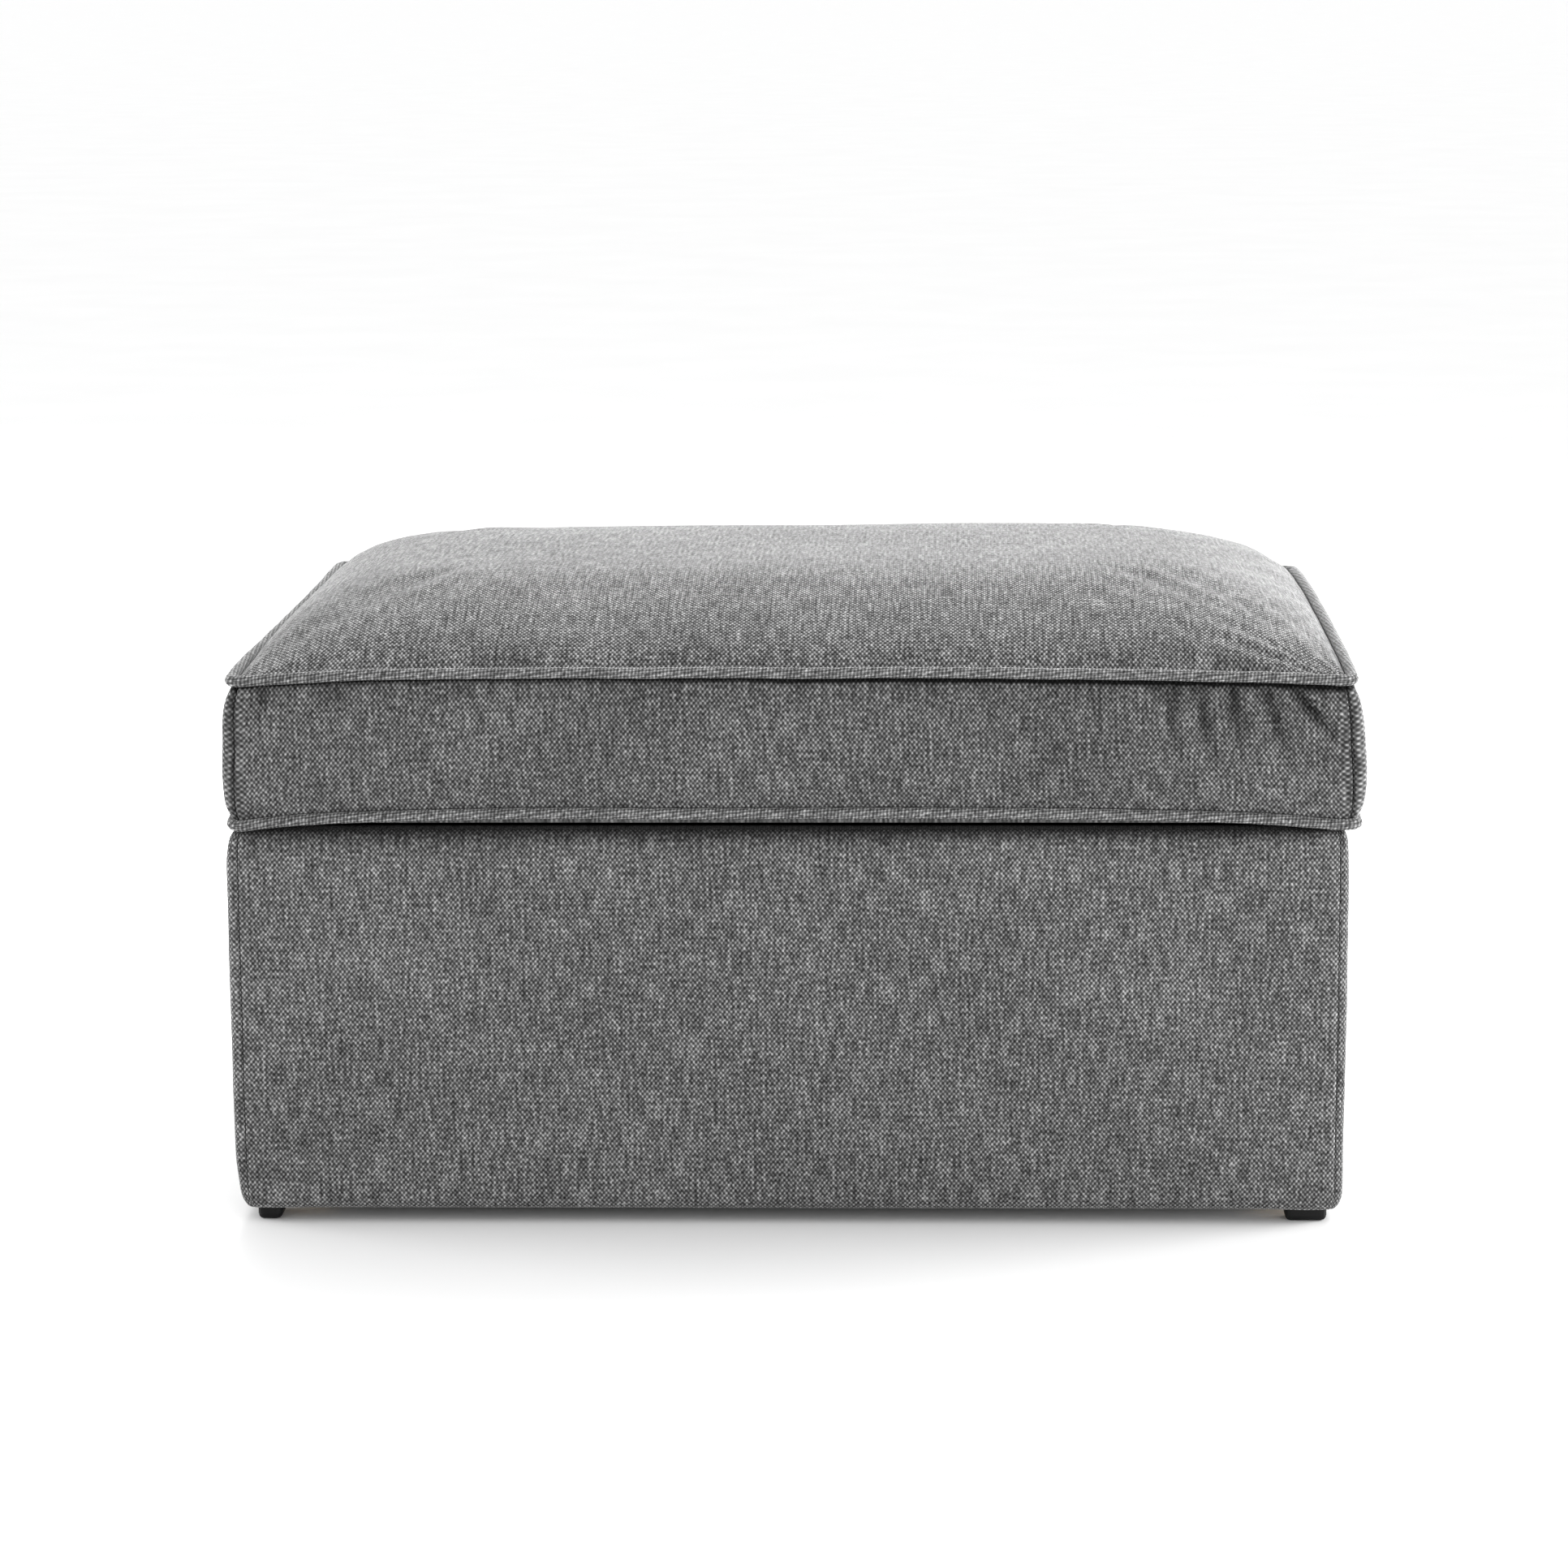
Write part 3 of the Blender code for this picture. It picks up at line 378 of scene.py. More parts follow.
def shoulder(distance, side):
    """The crown's rise from one seam: a short steep part and a long round one."""
    distance, steep = max(distance, 0.0), STEEP[side]
    long = 1 - (1 - min(distance / SHOULDERS[side], 1.0)) ** 4
    return steep * (1 - math.exp(-distance / 0.010)) + (1 - steep) * long


def crown(x, y):
    """Rise of the cushion's top above its seam: steep at the seam and nearly level in the middle."""
    across = shoulder(x + SEAM_X, "left") * shoulder(SEAM_X - x, "right")
    deep = shoulder(y + SEAM_Y, "front") * shoulder(SEAM_Y - y, "back")
    return (CROWN + 0.0062 * x - 0.0022) * across * deep


def round_corner(x, y, half_x, half_y, radius):
    """Moves a point of a rectangular grid so that the rectangle gets round corners."""
    over_x, over_y = abs(x) - (half_x - radius), abs(y) - (half_y - radius)
    if over_x <= 0 or over_y <= 0:
        return x, y
    scale = max(over_x, over_y) / math.hypot(over_x, over_y)
    return (
        math.copysign(half_x - radius + over_x * scale, x),
        math.copysign(half_y - radius + over_y * scale, y),
    )


def outward(x, y, half_x, half_y, radius):
    """Unit vector away from the rounded rectangle at a point on it."""
    over_x, over_y = abs(x) - (half_x - radius), abs(y) - (half_y - radius)
    if over_x > 1e-6 and over_y > 1e-6:
        size = math.hypot(over_x, over_y)
        return math.copysign(over_x / size, x), math.copysign(over_y / size, y)
    if over_x > over_y:
        return math.copysign(1.0, x), 0.0
    return 0.0, math.copysign(1.0, y)


def graded(half):
    """Grid positions from -half to half, close together near both ends."""
    ends = [half - s for s in FINE]
    inner = np.linspace(-ends[-1], ends[-1], round(2 * ends[-1] / CELL) + 1)
    return [-e for e in ends[:-1]] + [float(v) for v in inner] + ends[-2::-1]


def grid_border(across, deep):
    """Border points of a grid stored column by column, anticlockwise from the front left corner."""
    last = across - 1
    loop = [i * deep for i in range(last)]
    loop += [last * deep + j for j in range(deep - 1)]
    loop += [i * deep + deep - 1 for i in range(last, 0, -1)]
    loop += [j for j in range(deep - 1, 0, -1)]
    return loop


def swell_share(share):
    """The boxing's section: out quickly under the upper seam, and more quickly over the lower one."""
    top = 1 - (1 - min(share / 0.24, 1.0)) ** 3.4
    bottom = 1 - (1 - min((1 - share) / 0.22, 1.0)) ** 3.0
    return top * bottom * (0.8 + 0.2 * math.sin(math.pi * share))


class Cover:
    """The cushion's cover before it is cut into its sewn panels: a top grid and rows of boxing."""

    def __init__(self):
        half_x, half_y = SEAM_X - SEAM_IN, SEAM_Y - SEAM_IN
        radius = SEAM_ROUND - SEAM_IN
        xs, ys = graded(half_x), graded(half_y)
        self.across, self.deep = len(xs), len(ys)
        self.top_count = self.across * self.deep
        self.loop = grid_border(self.across, self.deep)
        self.points, self.uvs, flat = [], [], []
        for i in xs:
            for j in ys:
                x, y = round_corner(i, j, half_x, half_y, radius)
                inside = min(half_x - abs(i), half_y - abs(j)) / 0.06
                near = (i, math.copysign(half_y, j))
                if half_x - abs(i) < half_y - abs(j):
                    near = (math.copysign(half_x, i), j)
                seam = upper_seam_rise(*near) * (1 - smooth_step(inside))
                z = UPPER_Z + seam + crown(i * SEAM_X / half_x, j * SEAM_Y / half_y)
                z += 0.0016 * ripple(x, y, 7.0, 4) * smooth_step(inside)
                flat.append((x, y))
                self.points.append((x + seam_shift(x, 0), y, z))
                self.uvs.append((i, j))
        self.outs = [outward(*flat[v], half_x, half_y, radius) for v in self.loop]
        self.rim = [flat[v] for v in self.loop]
        self.run = [0.0]
        for here, ahead in zip(self.rim, self.rim[1:] + self.rim[:1]):
            self.run.append(self.run[-1] + math.dist(here, ahead))
        a, d, c = self.across - 1, self.deep - 1, SEAM_COLUMN
        self.cuts = [c, a - c, a + d + c, 2 * a + d - c, 2 * a + 2 * d + c]
        self.count = len(self.loop)
        for k, (x, y) in enumerate(self.rim):
            self.add_boxing(k, x, y)

    def add_boxing(self, k, x, y):
        out = self.outs[k]
        high = self.points[self.loop[k]][2]
        low = LOWER_Z + lower_seam_rise(x, y)
        swell = SIDE_SWELL * out[0] ** 2 + FRONT_SWELL * out[1] ** 2
        if x < 0:
            swell -= 0.0012 * out[0] ** 2
        for share in ROWS:
            push = swell * swell_share(share) * (1 + 0.12 * ripple(x + y, share, 5.0, 5))
            push += (SEAM_IN - LOW_SEAM_IN) * share
            z = high + (low - high) * share
            self.points.append((x + seam_shift(x, share) + out[0] * push, y + out[1] * push, z))
            self.uvs.append((self.run[k], -share * (UPPER_Z - LOWER_Z)))

    def at(self, k, row):
        """Index of a point of the boxing. Row 0 is the upper seam, which it shares with the top."""
        k %= self.count
        return self.loop[k] if row == 0 else self.top_count + k * LAST + row - 1

    def faces(self):
        found = grid_faces(self.across, self.deep)
        for k in range(self.count):
            for row in range(LAST):
                corners = ((k, row), (k, row + 1), (k + 1, row + 1), (k + 1, row))
                found.append(tuple(self.at(*corner) for corner in corners))
        return found

    def seam_distance(self, k):
        """Distance along the boxing to the nearest corner seam."""
        total = self.run[-1]
        gaps = [abs(self.run[k] - self.run[cut % self.count]) for cut in self.cuts]
        return min(min(gap, total - gap) for gap in gaps)


def simulate(points, faces, pinned, frames=20):
    """Blows the cover up as cloth held at its seams, and returns the points a little way along."""
    obj = make_piece("cushion_cloth_sim", points, faces)
    group = obj.vertex_groups.new(name="seams")
    group.add(pinned, 1.0, "REPLACE")
    cloth = obj.modifiers.new("cloth", "CLOTH")
    settings = cloth.settings
    settings.quality = 6
    settings.mass = 0.25
    settings.tension_stiffness = settings.compression_stiffness = 18.0
    settings.shear_stiffness = 6.0
    settings.bending_stiffness = 1.5
    settings.vertex_group_mass = "seams"
    settings.use_pressure = True
    settings.uniform_pressure_force = 4.0
    settings.effector_weights.gravity = 0.0
    cloth.collision_settings.use_collision = False
    cloth.collision_settings.use_self_collision = False
    cloth.point_cache.frame_start, cloth.point_cache.frame_end = 1, frames
    scene = bpy.context.scene
    for number in range(1, frames + 1):
        scene.frame_set(number)
    evaluated = obj.evaluated_get(bpy.context.evaluated_depsgraph_get())
    moved = np.array([v.co for v in evaluated.data.vertices], float)
    scene.frame_set(1)
    bpy.data.objects.remove(obj)
    start = np.array(points, float)
    step = moved - start
    far = np.linalg.norm(step, axis=1, keepdims=True)
    return start + step * SWELL_CAP / (SWELL_CAP + far)


# ---------------------------------------------------------------- creases that the sewing leaves
# Gathers on the boxing under the upper seam: side, place along it, slant, height, strength.
GATHERS = (
    ("front", 0.222, 0.05, 0.036, 0.35),
    ("front", 0.277, 0.10, 0.050, 1.0),
    ("front", 0.298, 0.16, 0.056, 1.1),
    ("front", 0.320, 0.18, 0.052, 1.2),
    ("front", 0.345, 0.30, 0.056, 1.0),
    ("front", 0.361, 0.85, 0.044, 1.5),
    ("front", -0.381, -0.10, 0.026, 0.8),
    ("front", -0.328, -0.05, 0.024, 0.5),
    ("front", -0.130, 0.05, 0.022, 0.25),
    ("front", 0.060, -0.05, 0.022, 0.25),
    ("right", -0.262, 0.30, 0.040, 0.9),
    ("right", -0.236, 0.20, 0.034, 0.8),
    ("right", 0.170, -0.20, 0.034, 0.7),
    ("right", 0.265, -0.50, 0.040, 0.9),
    ("back", -0.330, 0.30, 0.038, 0.9),
    ("back", -0.305, 0.20, 0.034, 0.7),
    ("back", 0.210, 0.10, 0.032, 0.6),
    ("back", 0.360, -0.50, 0.040, 0.9),
    ("left", -0.255, 0.40, 0.036, 0.8),
    ("left", 0.050, 0.10, 0.028, 0.5),
    ("left", 0.262, -0.30, 0.038, 0.9),
)


def gather_depth(side, along, drop):
    """Depth of the boxing's gathers at a distance along a side and below the upper seam."""
    depth = 0.0
    for where, place, slant, height, strength in GATHERS:
        offset = (along - place - slant * drop) / GATHER_WIDTH
        if where == side and abs(offset) < 5:
            fade = smooth_step(1.6 - 1.6 * drop / (1.25 * height)) * smooth_step(drop / 0.005)
            fold = math.exp(-offset * offset) - 0.35 * math.exp(-((offset / 2.2) ** 2))
            depth += strength * fade * fold
    return GATHER_DEPTH * depth


def corner_folds(x, y):
    """Folds of the top that fan out from its front right corner, and fainter ones from the others."""
    height = 0.0
    for sign_x, sign_y, strength in ((1, -1, 1.0), (1, 1, 0.7), (-1, 1, 0.6), (-1, -1, 0.25)):
        dx, dy = SEAM_X - x * sign_x, SEAM_Y - y * sign_y
        away = math.hypot(dx, dy)
        if away < 0.2:
            turn = math.atan2(dx, dy)
            fade = smooth_step(away / 0.03) * smooth_step((0.2 - away) / 0.14)
            fade *= smooth_step(turn / 0.12)
            height += strength * fade * ripple(turn, away * 0.8, 7.5, 6 + sign_x + 3 * sign_y)
    return 0.0030 * height


def seam_puckers(x, y):
    """Short creases of the top along its right and left seams, slanting in towards the back."""
    inside = SEAM_X - abs(x)
    fade = smooth_step(1 - inside / 0.09) * smooth_step(inside / 0.01)
    if fade <= 0:
        return 0.0
    wave = ripple(y + 2.2 * inside, inside * 0.2, 38.0, 6 if x > 0 else 9)
    return (0.0024 if x > 0 else 0.0012) * fade * wave * smooth_step(0.6 + 1.4 * ripple(x, y, 8.0, 8))


def refine(obj):
    """Subdivides a piece once for good, so that its creases have enough points."""
    soften(obj)
    mesh = bpy.data.meshes.new_from_object(obj.evaluated_get(bpy.context.evaluated_depsgraph_get()))
    obj.modifiers.clear()
    old, obj.data = obj.data, mesh
    bpy.data.meshes.remove(old)
    mesh.shade_smooth()
    return obj


def displaced(obj, move):
    """Moves each point of a piece by move(x, y, z), which returns a vector."""
    mesh = obj.data
    flat = np.empty(len(mesh.vertices) * 3, np.float32)
    mesh.vertices.foreach_get("co", flat)
    flat = flat.reshape(-1, 3).astype(float)
    flat += np.array([move(*p) for p in flat])
    mesh.vertices.foreach_set("co", flat.astype(np.float32).ravel())
    mesh.update()


# ---------------------------------------------------------------- the cushion's pieces
def cushion(cloth, top_painted_light_cloth, right_side_painted_light_cloth, padding):
    """The top, the four boxing strips and the padding under them, all from one simulated cover."""
    cover = Cover()
    points = np.array(cover.points, float)
    pinned = cover.loop + [cover.at(k, LAST) for k in range(cover.count)]
    points = simulate(cover.points, cover.faces(), pinned)

    faces = grid_faces(cover.across, cover.deep)
    kept = cover.top_count
    top = make_piece("cushion_top_cloth", points[:kept], faces, cover.uvs[:kept], [top_painted_light_cloth])
    refine(top)
    displaced(top, lambda x, y, z: (0.0, 0.0, seam_puckers(x, y) + corner_folds(x, y)))
    thicken(top, CLOTH)
    settle(top, "lid", "cloth", "cushion_top")
    # The crown takes up about 20 mm of cloth each way.
    for name, first, last in zip(("front", "right", "back", "left"), cover.cuts, cover.cuts[1:]):
        boxing_strip(name, cover, points, first, last, right_side_painted_light_cloth if name == "right" else cloth)
    padding_block(cover, points, padding)
    return cover, points


def boxing_strip(name, cover, points, first, last, cloth):
    """One strip of the boxing, whose ends turn inwards where they are sewn to the next strips."""
    columns, runs, travelled = [], [], 0.0
    for k in range(first, last + 1):
        out = np.array([*cover.outs[k % cover.count], 0.0])
        valley = 0.0010 * math.exp(-((cover.seam_distance(k % cover.count) / 0.0030) ** 2))
        depths = [0.0] + [valley * min(1.0, 8 * share, 16 * (1 - share)) for share in ROWS]
        columns.append(np.array([points[cover.at(k, row)] - out * depths[row] for row in range(LAST + 1)]))
        runs.append(travelled)
        travelled += cover.run[k % cover.count + 1] - cover.run[k % cover.count]
    for end, inner, k in ((0, 1, first), (-1, -2, last)):
        out = np.array([*cover.outs[k % cover.count], 0.0])
        step = columns[inner] - columns[end]
        columns[end] = columns[end] + step * (0.00030 / np.linalg.norm(step, axis=1, keepdims=True))
        place = 0 if end == 0 else len(columns)
        columns.insert(place, columns[end] - out * FOLD)
        runs.insert(place, runs[end] + (-FOLD if end == 0 else FOLD))
    flat = [tuple(p) for column in columns for p in column]
    heights = [0.0] + [-share * (UPPER_Z - LOWER_Z) for share in ROWS]
    uvs = [(run + cover.run[first % cover.count], height) for run in runs for height in heights]
    faces = [face[::-1] for face in grid_faces(len(columns), LAST + 1)]
    strip = make_piece(f"boxing_{name}_cloth", flat, faces, uvs, [cloth])
    # Painted shade along the strip's turned-in ends at the corner seams, up to half.
    ends = [min(run - runs[1], runs[-2] - run) for run in runs for _ in heights]
    near = iter([0.5 * math.exp(-((max(end, 0.0) / 0.0016) ** 2)) for end in ends])
    mark_painted_shade(strip, lambda x, y, z: next(near))
    refine(strip)
    middle = {"front": (0, -1), "right": (1, 0), "back": (0, 1), "left": (-1, 0)}[name]

    def seen_from_seam(x, y):
        """The place along this side, and the point of the upper seam above it."""
        rim = (x, middle[1] * SEAM_Y) if middle[1] else (middle[0] * SEAM_X, y)
        return x * -middle[1] + y * middle[0], rim

    def gathered(x, y, z):
        along, rim = seen_from_seam(x, y)
        depth = gather_depth(name, along, UPPER_Z + upper_seam_rise(*rim) - z)
        return -middle[0] * depth, -middle[1] * depth, 0.0

    # Painted shade: dark under the upper welt, about half as dark just over the lower welt, and in the
    # gathers' valleys.
    def painted_shade(x, y, z):
        along, rim = seen_from_seam(x, y)
        drop = UPPER_Z + upper_seam_rise(*rim) - z
        rise = z - LOWER_Z - lower_seam_rise(*rim)
        high = WELT_R + 0.0030 + 0.0010 * along * middle[1] * -3 + 0.0008 * ripple(x, y, 14.0, 12)
        under = smooth_step((high - drop) / 0.0022 + 0.5)
        over = 0.55 * smooth_step((WELT_R + 0.0006 - rise) / 0.0015 + 0.5)
        fold = gather_depth(name, along, drop) / 0.0062
        return max(under, over, 0.62 * fold)

    mark_painted_shade(strip, painted_shade)
    displaced(strip, gathered)
    thicken(strip, CLOTH)
    settle(strip, "lid", "cloth", f"boxing_{name}")


def padding_block(cover, points, padding):
    """Foam and wadding as one closed crowned form, just under the cover."""
    inset = PADDING_INSET
    shape = []
    for v in range(cover.top_count):
        x, y, z = points[v]
        shape.append((x * (1 - inset / SEAM_X), y * (1 - inset / SEAM_Y), z - inset))
    kept = [row for row in range(1, LAST) if UPPER_Z + (LOWER_Z - UPPER_Z) * ROWS[row - 1] > FOAM_Z + 0.01]
    for k in range(cover.count):
        out = cover.outs[k]
        for row in kept:
            x, y, z = points[cover.at(k, row)]
            shape.append((x - out[0] * SIDE_INSET, y - out[1] * SIDE_INSET, z))
        shape.append((*shape[-1][:2], FOAM_Z))
    rows = len(kept) + 1

    def at(k, row):
        k %= cover.count
        return cover.loop[k] if row == 0 else cover.top_count + k * rows + row - 1

    faces = grid_faces(cover.across, cover.deep)
    for k in range(cover.count):
        faces += [(at(k, row), at(k, row + 1), at(k + 1, row + 1), at(k + 1, row)) for row in range(rows)]
    faces.append([at(k, rows) for k in range(cover.count)][::-1])
    block = make_piece("lid_padding", shape, faces, None, [padding])
    settle(block, "lid", "foam", "lid_foam", "lid_wadding")


def tube(name, path, radius, mat, sides=16):
    """A closed piped seam along a loop of points, with cloth coordinates on the bias and painted shade
    along its underside.
    """
    path = [Vector(p) for p in path]
    count = len(path)
    points, uvs, travelled = [], [], 0.0
    for k in range(count + 1):
        here, ahead, behind = path[k % count], path[(k + 1) % count], path[(k - 1) % count]
        tangent = (ahead - behind).normalized()
        side = Vector((tangent.y, -tangent.x, 0)).normalized()
        up = tangent.cross(side)
        swell = radius * (1 + 0.04 * ripple(here.x * 3, here.y * 3, 30.0, 11))
        for s in range(sides + 1):
            turn = 2 * math.pi * s / sides
            points.append(here + side * (swell * math.cos(turn)) + up * (swell * math.sin(turn)))
            uvs.append(((travelled + turn * radius) * 0.7071, (travelled - turn * radius) * 0.7071))
        travelled += (ahead - here).length
    obj = make_piece(name, points, grid_faces(count + 1, sides + 1), uvs, [mat])
    level = np.array([p.z for p in path])
    rows = iter(np.repeat([*level, level[0]], sides + 1))
    # Painted shade on the piping's underside: its lowest part is darkened, up to 0.9.
    mark_painted_shade(obj, lambda x, y, z: 0.9 * smooth_step(((next(rows) - z) / radius - 0.72) / 0.28))
    weld = obj.modifiers.new("weld", "WELD")
    weld.merge_threshold = 0.00002
    return obj


def welts(cover, points, mat):
    """Both piped seams, each just outside its seam in the simulated cover."""
    for name, row, gap in (("upper", 0, SEAM_IN), ("lower", LAST, LOW_SEAM_IN)):
        path = []
        for k in range(cover.count):
            x, y, z = points[cover.at(k, row)]
            path.append((x + cover.outs[k][0] * gap, y + cover.outs[k][1] * gap, z))
        piping = tube(f"welt_{name}_cloth", path, WELT_R, mat)
        settle(piping, "lid", "cloth", f"welt_{name}")


# ---------------------------------------------------------------- the box's cover
def loop_point(side, along, depth, half_x, half_y, radius):
    """A point of the rounded rectangle, and its outward direction, at a distance along one side."""
    half, out = (half_x, half_y) if side in ("front", "back") else (half_y, half_x)
    over = abs(along) - (half - radius)
    if over <= 0:
        local, direction = (along, -out), (0.0, -1.0)
    else:
        turn = over / radius
        x = half - radius + radius * math.sin(turn)
        y = -(out - radius) - radius * math.cos(turn)
        local = (math.copysign(x, along), y)
        direction = (math.copysign(math.sin(turn), along), -math.cos(turn))
    cos, sin = ((1, 0), (0, 1), (-1, 0), (0, -1))[("front", "right", "back", "left").index(side)]
    x, y = local[0] - direction[0] * depth, local[1] - direction[1] * depth
    return (x * cos - y * sin, x * sin + y * cos), (
        direction[0] * cos - direction[1] * sin,
        direction[0] * sin + direction[1] * cos,
    )


UNDER, UNDER_HIGH = 0.0080, 0.0150  # the cover's roundness at the hem, inwards and upwards
OVER, OVER_HIGH = 0.0070, 0.0120  # the same at the rim


def cover_profile():
    """The cover's section as (depth inwards, height): in from under the frame, up, over and down inside."""
    hem = HEM_Z - HEM_DROP
    profile = [(0.026, hem + 0.0012), (0.019, hem + 0.0006), (0.0125, hem + 0.0002)]
    for k in range(8):
        turn = math.pi / 2 * k / 7
        profile.append((UNDER * (1 - math.sin(turn)), hem + UNDER_HIGH * (1 - math.cos(turn))))
    low, high = hem + UNDER_HIGH, RIM_Z - OVER_HIGH
    profile += [(0.0, low + (high - low) * k / 26) for k in range(1, 26)]
    for k in range(8):
        turn = math.pi / 2 * k / 7
        profile.append((OVER * (1 - math.cos(turn)), RIM_Z - OVER_HIGH * (1 - math.sin(turn))))
    profile += [(TURN_IN - 0.003, RIM_Z), (TURN_IN - 0.0006, RIM_Z - 0.0008), (TURN_IN, RIM_Z - 0.003)]
    profile += [(TURN_IN, RIM_Z - 0.012), (TURN_IN, RIM_Z - 0.025), (TURN_IN, LINING_Z1 - 0.002)]
    return profile


def box_swell(out, x, y, z):
    """How far the padded cover stands out of its flat face: a soft swell and shallow dents."""
    up = (z - HEM_Z) / (RIM_Z - HEM_Z)
    if not 0.0 < up < 1.0:
        return 0.0
    dents = ripple(x + 0.7 * y, z, 9.0, 21) * 0.0012 + ripple(x - y, z, 26.0, 22) * 0.0005
    full = 0.0012 + 0.0032 * max(-out[0], 0.0) * (1 - abs(up - 0.7) ** 2)
    return min(1.0, 9 * up, 12 * (1 - up)) * (full + dents)


def painted_shade_under_lid(x, y, z):
    """Painted shade on the box's cover just under the lid: how shut in it is there, as a darkening from 0
    to 1. The corners are more open.
    """
    share = corner_share(x, y)
    reach = (0.0155 - 0.009 * x) * (1 - 0.6 * share**12)
    depth = (RIM_Z - z) / reach
    return 0.84 * (1 - smooth_step(depth * 0.9 + 0.05)) ** 1.2


def box_cover(cloth, right_side_painted_light_cloth):
    """Four sewn panels. The front and back stop at the corners, and the ends wrap round them."""
    feet = [(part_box(f"foot_{name}")[0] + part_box(f"foot_{name}")[1]) / 2 for name in FEET]
    profile = cover_profile()
    heights = np.cumsum([0.0] + [math.dist(a, b) for a, b in zip(profile, profile[1:])])
    for side in ("front", "right", "back", "left"):
        facing = side in ("front", "back")
        half = BOX_X if facing else BOX_Y
        reach = half - BOX_ROUND + BOX_ROUND * (BOX_SEAM if facing else math.pi / 2 - BOX_SEAM)
        stops = [reach - s for s in (0.00022, 0.0012, 0.0026, 0.0045, 0.007, 0.010, 0.0135, 0.018)]
        inner = np.linspace(-(reach - 0.026), reach - 0.026, round(2 * (reach - 0.026) / 0.010) + 1)
        alongs = [-s for s in stops] + [float(v) for v in inner] + stops[::-1]
        columns = []
        for along in alongs:
            valley = 0.0013 * math.exp(-(((reach - abs(along)) / 0.0028) ** 2))
            column = []
            for depth, z in profile:
                _, out = loop_point(side, along, 0.0, BOX_X, BOX_Y, BOX_ROUND)
                spot, _ = loop_point(side, along, depth, BOX_X, BOX_Y, BOX_ROUND)
                swell = box_swell(out, *spot, z) - valley if depth < 0.012 else 0.0
                x, y = spot[0] + out[0] * swell, spot[1] + out[1] * swell
                if z < HEM_Z + 0.02:
                    near = sum(math.exp(-(((x - f.x) ** 2 + (y - f.y) ** 2) / 0.00045)) for f in feet)
                    z -= 0.0014 * near * smooth_step((HEM_Z + 0.02 - z) / 0.02)
                column.append((x, y, z))
            columns.append(column)
        for end, along in ((0, -reach), (-1, reach)):
            _, out = loop_point(side, along, 0.0, BOX_X, BOX_Y, BOX_ROUND)
            folded = [(x - out[0] * FOLD, y - out[1] * FOLD, z) for x, y, z in columns[end]]
            columns.insert(0 if end == 0 else len(columns), folded)
        alongs = [alongs[0] - FOLD] + alongs + [alongs[-1] + FOLD]
        uvs = [(along, height) for along in alongs for height in heights]
        points = [p for column in columns for p in column]
        faces = grid_faces(len(columns), len(profile))
        mat = right_side_painted_light_cloth if side == "right" else cloth
        panel = make_piece(f"base_cover_{side}_cloth", points, faces, uvs, [mat])
        # Painted shade along the rim, where the lid shades it.
        mark_painted_shade(panel, painted_shade_under_lid)
        thicken(panel, CLOTH)
        soften(panel)
        settle(panel, "base", "cloth", f"base_cover_{side}")


def box_wadding(mat):
    """The wadding round the box, lumpy and round-cornered, just under the cover."""
    shape = []
    heights = list(np.linspace(HEM_Z + 0.004, RIM_Z - 0.0035, 20))
    for depth, levels in ((0.0028, heights), (0.0062, heights[::-1])):
        for z in levels:
            ring = []
            for side in ("front", "right", "back", "left"):
                half = BOX_X if side in ("front", "back") else BOX_Y
                reach = half - BOX_ROUND + BOX_ROUND * math.pi / 4
                for along in np.linspace(-reach, reach, 40)[:-1]:
                    spot, out = loop_point(side, along, 0.0, BOX_X, BOX_Y, BOX_ROUND)
                    inwards = depth
                    if depth < 0.004:
                        tuck = 0.0034 * (1 - smooth_step(min(z - HEM_Z, RIM_Z - z) / 0.016))
                        inwards = min(depth + tuck - box_swell(out, *spot, z), 0.0058)
                    spot, _ = loop_point(side, along, inwards, BOX_X, BOX_Y, BOX_ROUND)
                    ring.append((*spot, z))
            shape.append(ring)
    size, rows = len(shape[0]), len(shape)
    points = [ring[k] for k in range(size) for ring in shape]
    faces = []
    for k in range(size):
        a, b = k * rows, (k + 1) % size * rows
        faces += [(a + j, b + j, b + (j + 1) % rows, a + (j + 1) % rows) for j in range(rows)]
    wrap = make_piece("box_wadding", points, faces, None, [mat])
    settle(wrap, "base", "wadding", "wadding_wrap")


